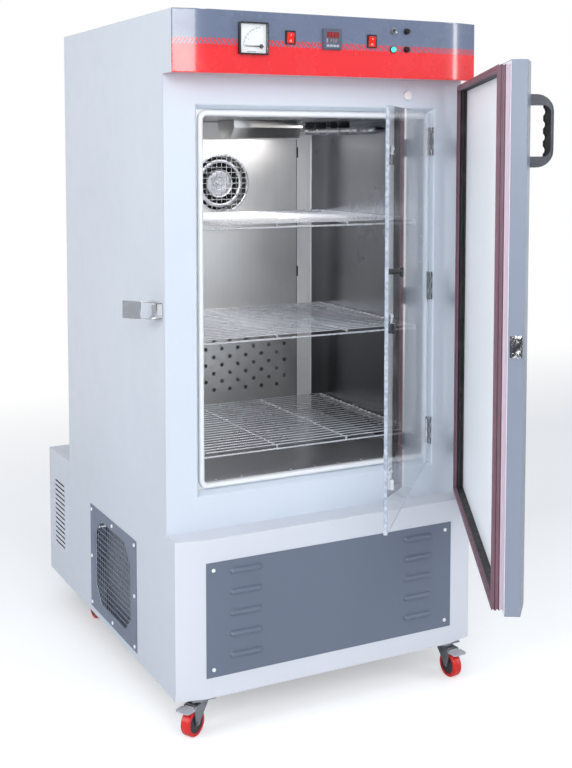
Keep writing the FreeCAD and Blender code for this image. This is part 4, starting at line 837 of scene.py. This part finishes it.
def mouth_screws():
    """Small dome heads on the steel walls just inside the mouth, at an even pitch."""
    y, radius, proud = seat_face + 0.0085, 0.0030, 0.0016
    upright_reach, level_reach = 0.395, 0.265
    turn = np.linspace(0, math.pi / 2, 5)
    dome = np.column_stack([radius * np.sin(turn), -proud * np.cos(turn)])
    heads = []
    for side in (1, -1):
        for z in opening_middle + np.linspace(-upright_reach, upright_reach, 13):
            heads.append(turned_profile(dome * (1, side), (side * chamber_half, y, z), (1, 0, 0), 10))
        for x in np.linspace(-level_reach, level_reach, 9):
            place = (x, y, opening_middle + side * chamber_rise)
            heads.append(turned_profile(dome * (1, side), place, (0, 0, 1), 10))
    piece = build("mouth_screw_heads", *joined(heads), "wire", "cabinet", "mirror_steel", 60.0)
    faced_out(piece)


def duct_edge_shadow():
    """A black strip of painted shadow for the gap at the false wall's right edge, as a thin upright bar."""
    bar = box_strip(duct_right_edge, duct_right_edge + 0.0019, opening_middle - chamber_rise, duct_top)
    flat_marks("duct_edge_shadow_strip", bar, duct_face + 0.004, "grip", thick=0.003)


def faced_out(piece):
    """Turns every face of closed pieces outwards."""
    work = bmesh.new()
    work.from_mesh(piece.data)
    bmesh.ops.recalc_face_normals(work, faces=work.faces)
    work.to_mesh(piece.data)
    work.free()


def dress_chamber():
    """The chamber's fittings; the false wall's holder clips are dark and the lamp's lens is milky."""
    dress("insulation_slabs", "foam")
    piece = eased_copy("duct_panel", 0.0003, "duct", 1)
    paint_parts(piece, "dark", lambda low, high: high[2] - low[2] < 0.05)
    dress("fan_guard", "wire")
    blower()
    eased_copy("blower_motor", 0.0008, "dark")
    dress("evaporator_coil", "wire")
    piece = eased_copy("chamber_light", 0.0015, "duct", 2)
    paint_parts(piece, "diffuser", lambda low, high: low[0] > 0.045)
    mouth_screws()
    # A black strip of painted shadow along the false wall's right edge.
    duct_edge_shadow()
    eased_copy("shelf_rails", 0.0003, "steel", 1)
    for number in (1, 2, 3):
        dress(f"shelf_{number}", "wire")


# The doors
def layer_colours(piece, colours):
    """Stores one colour for each point of the piece."""
    layer = piece.data.attributes.new("layer_colour", "FLOAT_COLOR", "POINT")
    layer.data.foreach_set("color", np.asarray(colours, np.float32).reshape(-1))


def seal_section():
    """Points (inset from the door's edge, y) round the folded seal, and the colour of each.

    Both sides are cosines of y with three folds, joined by a half ellipse at the nose. The outer side shows a
    pinkish foot, two grooves of painted shade and burgundy folds; the inner side has painted shadow up to its
    nose."""
    inner, outer, folds, depth, nose_rise = 0.022, 0.008, 3, 0.0022, 0.0035
    y0, y1 = door_back, door_seal_face
    y = np.linspace(y0, y1 - nose_rise, 43)
    pulled = depth * (0.5 - 0.5 * np.cos((y - y0) / (y1 - y0) * folds * 2 * math.pi))
    inward = np.column_stack([inner - pulled, y])
    outward = np.column_stack([outer + pulled, y])[::-1]
    a = np.linspace(0, math.pi, 13)[1:-1]
    middle, reach = (inner + outer) / 2, (inner - outer) / 2
    nose = np.column_stack([middle + reach * np.cos(a), y1 - nose_rise + nose_rise * np.sin(a)])
    section = np.concatenate([inward, nose, outward])
    up = (y - y0)[:, None]
    # Painted shade: the two dark grooves of the outer side and the dark inner side up to the nose stand for
    # shade in the folds and the gap.
    pink, groove_shade = np.array(ink(188, 172, 186)), np.array(ink(52, 40, 48))
    wine, dark = np.array(ink(122, 88, 102)), np.array(ink(26, 24, 28))
    outside = np.where(up < 0.009, pink, np.where(up < 0.011, groove_shade, wine))
    outside = np.where((up > 0.0165) & (up < 0.0182), groove_shade, outside)
    inside = np.where(up < 0.017, dark, wine)
    return section, np.concatenate([inside, np.tile(wine * 0.85, (len(nose), 1)), outside[::-1]])


def door_seal():
    """The section carried round the door as mitred rectangles."""
    section, colours = seal_section()
    rings = []
    for inset, y in section:
        rings.append((door_half - inset, door_bottom + inset, door_top - inset, y, 0.0012))
    points, faces = nested_rings(rings, 4)
    rows = points.shape[0]
    points = swung(points, door_axis, door_open)
    piece = build("door_seal_skin", points, faces, "seal", "main_door", "seal_rubber", 70.0)
    layer_colours(piece, np.tile(colours, (rows, 1)))
    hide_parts("door_seal")


def dress_doors():
    """Both doors and the fittings that they hang from or close on."""
    eased_copy("door_shell", 0.0022, "door", 3)
    eased_copy("door_inner_panel", 0.0005, "lining")
    dress("door_core", "foam")
    piece = eased_copy("door_handle", 0.0012, "handle")
    paint_parts(piece, "grip", lambda low, high: high[2] - low[2] < 0.12)
    eased_copy("door_metalwork", 0.0004, "chrome")
    pane_edges(eased_copy("inner_door_pane", 0.0006, "pane"))
    eased_copy("inner_door_knob", 0.0005, "black")
    eased_copy("inner_door_metalwork", 0.0003, "chrome")
    eased_copy("frame_hinge_posts", 0.0003, "chrome")
    eased_copy("latch_base", 0.0005, "chrome")
    eased_copy("latch_lever", 0.0006, "chrome")


def pane_edges(piece):
    """The pane's narrow faces take the sawn finish; its two broad faces stay clear."""
    mesh = piece.data
    mesh.materials.append(finish["pane_edge"])
    areas = np.zeros(len(mesh.polygons))
    mesh.polygons.foreach_get("area", areas)
    broad = 0.1
    mesh.polygons.foreach_set("material_index", (areas < broad).astype(np.int32))


# The controls
def dress_controls():
    """The meter, controller, switches and lamp of the fascia, and the frame's button."""
    meter_case()
    dress("meter_needle", "black")
    piece = eased_copy("temperature_controller", 0.0004, "controller")
    paint_parts(piece, "keypad", lambda low, high: high[1] < face)
    piece = eased_copy("panel_fittings", 0.0004, "black")
    paint_parts(piece, "zinc", lambda low, high: 0.14 < (low[0] + high[0]) / 2 < 0.17)
    piece = eased_copy("indicator_lamp", 0.0003, "black")
    paint_parts(piece, "lamp", lambda low, high: high[1] < face)
    eased_copy("mains_rocker", 0.0006, "red_switch")
    eased_copy("cooling_rocker", 0.0006, "red_switch")
    dress("toggle_lever", "chrome")
    eased_copy("door_switch_button", 0.0004, "white")
    meter_scale()
    controller_front()
    switch_marks()


def box_strip(left, right, low, high):
    """One upright rectangle in XZ, as a list of one strip."""
    return [[(left, low), (right, low), (right, high), (left, high)]]


def flat_marks(name, strips, y, made, body="cabinet", slot="black_plastic", thick=0.0002):
    """Printed strips, each four corners in XZ, as thin raised prisms that face the front."""
    corners = np.asarray(strips, float)
    count = len(corners)
    shell = np.zeros((count, 2, 4, 3))
    shell[:, :, :, 0] = corners[:, None, :, 0]
    shell[:, :, :, 2] = corners[:, None, :, 1]
    shell[:, 0, :, 1] = y - thick
    shell[:, 1, :, 1] = y
    one = np.array([[0, 1, 2, 3], [7, 6, 5, 4], [0, 4, 5, 1], [1, 5, 6, 2], [2, 6, 7, 3], [3, 7, 4, 0]])
    faces = (one[None] + (np.arange(count) * 8)[:, None, None]).reshape(-1, 4)
    piece = build(name, shell, faces, made, body, slot, 20.0)
    faced_out(piece)
    return piece


def spokes(cx, cz, inner, outer, angles, width):
    """Strips that point away from a centre, from the inner to the outer radius."""
    a = np.radians(np.asarray(angles, float))[:, None]
    out = np.stack([np.cos(a), np.sin(a)], -1)
    side = np.stack([-np.sin(a), np.cos(a)], -1) * width / 2
    ring = [out * inner - side, out * inner + side, out * outer + side, out * outer - side]
    return np.concatenate(ring, 1) + np.array([cx, cz])


def arc_strips(cx, cz, radius, low, high, width, count):
    """An arc as short strips end to end."""
    edge = np.radians(np.linspace(low, high, count + 1))
    a, b = edge[:-1, None], edge[1:, None]
    near, far = radius - width / 2, radius + width / 2
    corners = ((a, near), (a, far), (b, far), (b, near))
    ring = [np.stack([np.cos(t) * r, np.sin(t) * r], -1) for t, r in corners]
    return np.concatenate(ring, 1) + np.array([cx, cz])


# Which of the seven bars each digit lights: a on top, then clockwise to f, g across the middle
digit_bars = ["abcdef", "bc", "abged", "abgcd", "fgbc", "afgcd", "afgedc", "abc", "abcdefg", "abfgcd"]


def digit(number, cx, cz, tall, width):
    """A seven-bar digit as strips, half as wide as it is tall."""
    half_w = width / 2
    level = {"a": tall / 2, "g": 0.0, "d": -tall / 2}
    side = tall / 4
    upright = {"f": (-side, 0), "b": (side, 0), "e": (-side, -tall / 2), "c": (side, -tall / 2)}
    strips = []
    for bar in digit_bars[number]:
        if bar in level:
            z = cz + level[bar]
            strips += box_strip(cx - side + half_w, cx + side - half_w, z - half_w, z + half_w)
        else:
            x, z = cx + upright[bar][0], cz + upright[bar][1]
            strips += box_strip(x - half_w, x + half_w, z + half_w, z + tall / 2 - half_w)
    return strips


def meter_case():
    """The meter's box and bezel as nested squares from its back to the scale plate, with plate and window."""
    r, lip, back = meter_size / 2, face - meter_rise, face + 0.044
    sizes = [(0.0, back), (r - 0.004, back), (r - 0.004, face), (r, face), (r, lip + 0.0006)]
    sizes += [(r - 0.0006, lip), (r - 0.0026, lip), (r - 0.0032, lip + 0.0006)]
    sizes += [(r - 0.0032, meter_plate_face), (0.0, meter_plate_face)]
    rings = [(size, meter_z - size, meter_z + size, y, min(0.0012, size)) for size, y in sizes]
    points, faces = nested_rings(rings, 4)
    points = points + np.array([meter_x, 0.0, 0.0])
    case = build("meter_case", points, faces, "black", "cabinet", "black_plastic")
    faced_out(case)
    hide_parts("panel_meter")
    reach = r - 0.0033
    square = box_strip(meter_x - reach, meter_x + reach, meter_z - reach, meter_z + reach)
    flat_marks("meter_plate", square, meter_plate_face, "white", slot="white_plastic")
    flat_marks("meter_window", square, lip + 0.0016, "glass", slot="clear_pane", thick=0.0012)


def meter_scale():
    """A quarter scale round the pivot: an arc, ticks and numbers, and the black cap over the pivot."""
    cx, cz = meter_x + meter_size * 0.27, meter_z - meter_size * 0.24
    first, last, outer, number_radius = 177, 93, 0.0430, 0.0345
    minor = spokes(cx, cz, 0.0405, outer, np.linspace(last, first, 29), 0.00035)
    major = spokes(cx, cz, 0.0385, outer, np.linspace(last, first, 8), 0.0007)
    arc = arc_strips(cx, cz, outer, last, first, 0.0004, 24)
    bar = box_strip(cx - 0.034, cx - 0.012, cz - 0.0123, cz - 0.0113)
    numbers = []
    for count, a in enumerate(np.radians(np.linspace(first, last, 8))[::2]):
        x, z = cx + number_radius * math.cos(a), cz + number_radius * math.sin(a)
        numbers += digit(count * 2, x, z, 0.0030, 0.0004)
    strips = np.concatenate([minor, major, arc, bar, numbers])
    flat_marks("meter_scale", strips, meter_plate_face - 0.0001, "black")
    profile = [(0.0, -0.0012), (0.0042, -0.0012), (0.0048, -0.0007), (0.0048, 0.0), (0.0, 0.0)]
    points, faces = turned_profile(profile, (cx, face - 0.0056, cz), (0, 1, 0), 32)
    build("meter_pivot_cap", points, faces, "black", "cabinet", "black_plastic", 50.0)


def controller_front():
    """The controller's two displays with three digits each, its four keys and its four small lamps."""
    y, film = face - 0.0076, 0.0004
    x, z = controller_x, controls_z

    def plate(left, right, low, high):
        """A strip placed from the controller's middle."""
        return box_strip(x + left, x + right, z + low, z + high)

    def three_digits(places, level, tall, width):
        """A made-up reading at three places along a level."""
        strips = []
        for number, place in zip((2, 5, 0), places):
            strips += digit(number, x + place, z + level, tall, width)
        return strips

    upper, lower = plate(-0.016, 0.016, 0.0035, 0.0165), plate(-0.011, 0.016, -0.0085, 0.0015)
    flat_marks("controller_upper_display", upper, y, "display", thick=film)
    flat_marks("controller_lower_display", lower, y, "lower_display", thick=film)
    upper = three_digits((-0.009, 0.0, 0.009), 0.010, 0.0085, 0.0011)
    lower = three_digits((-0.005, 0.0015, 0.008), -0.0035, 0.006, 0.0008)
    flat_marks("controller_upper_digits", upper, y - film, "digits")
    flat_marks("controller_lower_digits", lower, y - film, "dim_digits")
    keys, lamps = [], []
    for i in range(4):
        left, low = -0.0165 + i * 0.0086, -0.0075 + i * 0.0024
        keys += plate(left, left + 0.0066, -0.0175, -0.0125)
        lamps += plate(-0.0165, -0.0145, low, low + 0.0013)
    flat_marks("controller_keys", keys, y, "key", thick=0.0005)
    flat_marks("controller_lamps", lamps, y, "white", thick=0.0003)


def switch_marks():
    """On and off marks moulded on each rocker: a bar above and a ring below.

    They follow the paddle's crown, which falls evenly from its middle line to its ends, and are then
    turned with the paddle about the rocker's pivot."""
    pivot_y, crown, sunk = face + 0.003, 0.0018, 0.0002
    for body, x in switch_places.items():
        upper = box_strip(x - 0.0006, x + 0.0006, controls_z + 0.0045, controls_z + 0.0085)
        lower = arc_strips(x, controls_z - 0.0065, 0.0020, 0, 360, 0.0007, 20)
        strips = np.concatenate([upper, lower])
        piece = flat_marks(
            body + "_marks", strips, face - 0.0050, "white", body, "white_plastic", 0.0003)
        mesh = piece.data
        co = np.zeros(len(mesh.vertices) * 3)
        mesh.vertices.foreach_get("co", co)
        co = co.reshape(-1, 3)
        z = co[:, 2] - controls_z
        y = co[:, 1] + crown * (1 - np.abs(z) / rocker_half_height) - sunk - pivot_y
        co[:, 1] = pivot_y + y * math.cos(rocker_tilt) - z * math.sin(rocker_tilt)
        co[:, 2] = controls_z + y * math.sin(rocker_tilt) + z * math.cos(rocker_tilt)
        mesh.vertices.foreach_set("co", co.reshape(-1))
        mesh.update()


# The machine compartment
def dress_machine():
    """What stands in the base and the rear housing, seen through the mesh and the slots."""
    eased_copy("compressor", 0.001, "dark")
    piece = eased_copy("condenser", 0.0004, "fins", 1)
    paint_parts(piece, "dark", lambda low, high: high[0] > -0.3)
    dress("condenser_fan", "black")
    eased_copy("steam_generator", 0.001, "steel")
    eased_copy("water_tank", 0.001, "tank")


# The casters
def dress_casters():
    """Four wheels with red treads; the front pair swivels and has brake pedals."""
    eased_copy("caster_mounts", 0.0005, "zinc")
    swivels = ["front_left", "front_right"]
    for side in swivels:
        eased_copy(side + "_fork", 0.0005, "zinc")
        eased_copy(side + "_pedal", 0.0006, "pedal")
    for side in swivels + ["rear_left", "rear_right"]:
        piece = eased_copy(side + "_wheel", 0.0004, "tread")
        paint_parts(piece, "hub", lambda low, high: high[2] - low[2] < 0.055)


# The room
def make_floor():
    """A pale floor that fades to the white background far behind the cabinet.

    Camera rays see it a little brighter near the camera, and glossy rays see its far front painted dark: a
    painted dark reflection in the steel."""
    made, tree, shader, where = new_finish("studio_floor")
    tree.nodes.remove(shader)
    back = axes(tree, where)["Y"]
    path = add_node(tree, "LightPath").outputs
    near = spread(tree, back, -1.7, 0.6, 0.55, 0.24)
    # Painted reflection: glossy rays see the floor's far front dark.
    behind = spread(tree, back, -3.6, -3.0, 1.0, 0.0)
    painted_dark_reflection = maths(tree, "MULTIPLY", behind, path["Is Glossy Ray"])
    colour = blend_colour(tree, painted_dark_reflection, ink(226, 228, 231), ink(60, 62, 68))
    lit = add_node(tree, "BsdfDiffuse", {"Color": colour})
    glow = add_node(tree, "Emission", {"Strength": maths(tree, "MULTIPLY", near, path["Is Camera Ray"])})
    flat = add_node(tree, "AddShader", {0: lit.outputs[0], 1: glow.outputs[0]})
    white = add_node(tree, "Emission", {"Strength": 1.0})
    away = spread(tree, back, 1.6, 3.4)
    tree.links.new(blend_shader(tree, away, flat, white), surface(tree))
    reach = 14.0
    mesh = bpy.data.meshes.new("studio_floor")
    corners = [(-reach, -reach, 0), (reach, -reach, 0), (reach, reach, 0), (-reach, reach, 0)]
    mesh.from_pydata(corners, [], [(0, 1, 2, 3)])
    mesh.materials.append(made)
    floor = bpy.data.objects.new("studio_floor", mesh)
    scene.collection.objects.link(floor)


def soft_box(name, place, aim, size, power):
    """A rectangular lamp at a place, turned to what it lights."""
    lamp = bpy.data.lights.new(name, "AREA")
    lamp.shape = "RECTANGLE"
    lamp.size, lamp.size_y = size
    lamp.energy = power
    holder = bpy.data.objects.new(name, lamp)
    scene.collection.objects.link(holder)
    holder.location = place
    direction = np.array(aim) - np.array(place)
    holder.rotation_euler = Vector(direction).to_track_quat("-Z", "Y").to_euler()


def make_light():
    """A white room and six lamps.

    The world is white to the camera and through the pane. Polished metal sees it fall off to the left
    front, with one bright upright strip, and it is white overhead and behind."""
    world = bpy.data.worlds.new("studio")
    scene.world = world
    world.use_nodes = True
    tree = world.node_tree
    tree.nodes.clear()
    path = add_node(tree, "LightPath").outputs
    way = axes(tree, add_node(tree, "TexCoord").outputs["Generated"])
    level = spread(tree, way["X"], -0.45, 0.45, 0.08, 0.50)
    level = maths(tree, "MAXIMUM", level, spread(tree, way["Z"], 0.10, 0.55))
    level = maths(tree, "MAXIMUM", level, spread(tree, way["Y"], -0.2, 0.2))
    strip = maths(tree, "MULTIPLY", spread(tree, way["X"], -0.30, -0.22), 0.8)
    for axis, *ends in (("X", 0.03, 0.07, 1.0, 0.0), ("Y", -0.9, -0.8, 1.0, 0.0), ("Z", -0.05, 0.0)):
        strip = maths(tree, "MULTIPLY", strip, spread(tree, way[axis], *ends))
    level = maths(tree, "MAXIMUM", level, strip)
    straight = maths(tree, "MAXIMUM", path["Is Camera Ray"], path["Is Transmission Ray"])
    either = maths(tree, "MAXIMUM", straight, path["Is Glossy Ray"])
    strength = maths(tree, "MAXIMUM", level, straight)
    shade = add_node(tree, "Background", {"Color": (0.93, 0.96, 1.0, 1.0), "Strength": 0.62})
    seen = add_node(tree, "Background", {"Color": (1.0, 1.0, 1.0, 1.0), "Strength": strength})
    add_node(tree, "OutputWorld", {"Surface": blend_shader(tree, either, shade, seen)})
    soft_box("key_box", (-2.6, -4.2, 3.4), (0.0, -0.3, 0.8), (2.6, 2.0), 85.0)
    soft_box("side_box", (3.2, -3.0, 2.0), (0.1, -0.3, 0.9), (0.3, 5.0), 40.0)
    soft_box("front_box", (-0.7, -4.4, 2.0), (-0.3, -0.4, 1.58), (1.3, 1.8), 50.0)
    soft_box("left_box", (-3.4, -0.5, 2.0), (0.6, -0.9, 1.0), (1.6, 2.4), 50.0)
    soft_box("chamber_lamp", (0.16, -0.03, 1.395), (0.02, 0.14, 0.6), (0.10, 0.40), 0.42)
    soft_box("chamber_glow", (0.03, -0.02, 1.366), (0.03, 0.05, 0.6), (0.30, 0.20), 0.68)


dress_cabinet()
front_frame()
fascia_skin()
service_cover()
chamber_skin()
mouth_bulb()
dress_chamber()
door_seal()
dress_doors()
dress_controls()
dress_machine()
dress_casters()
make_floor()
make_light()
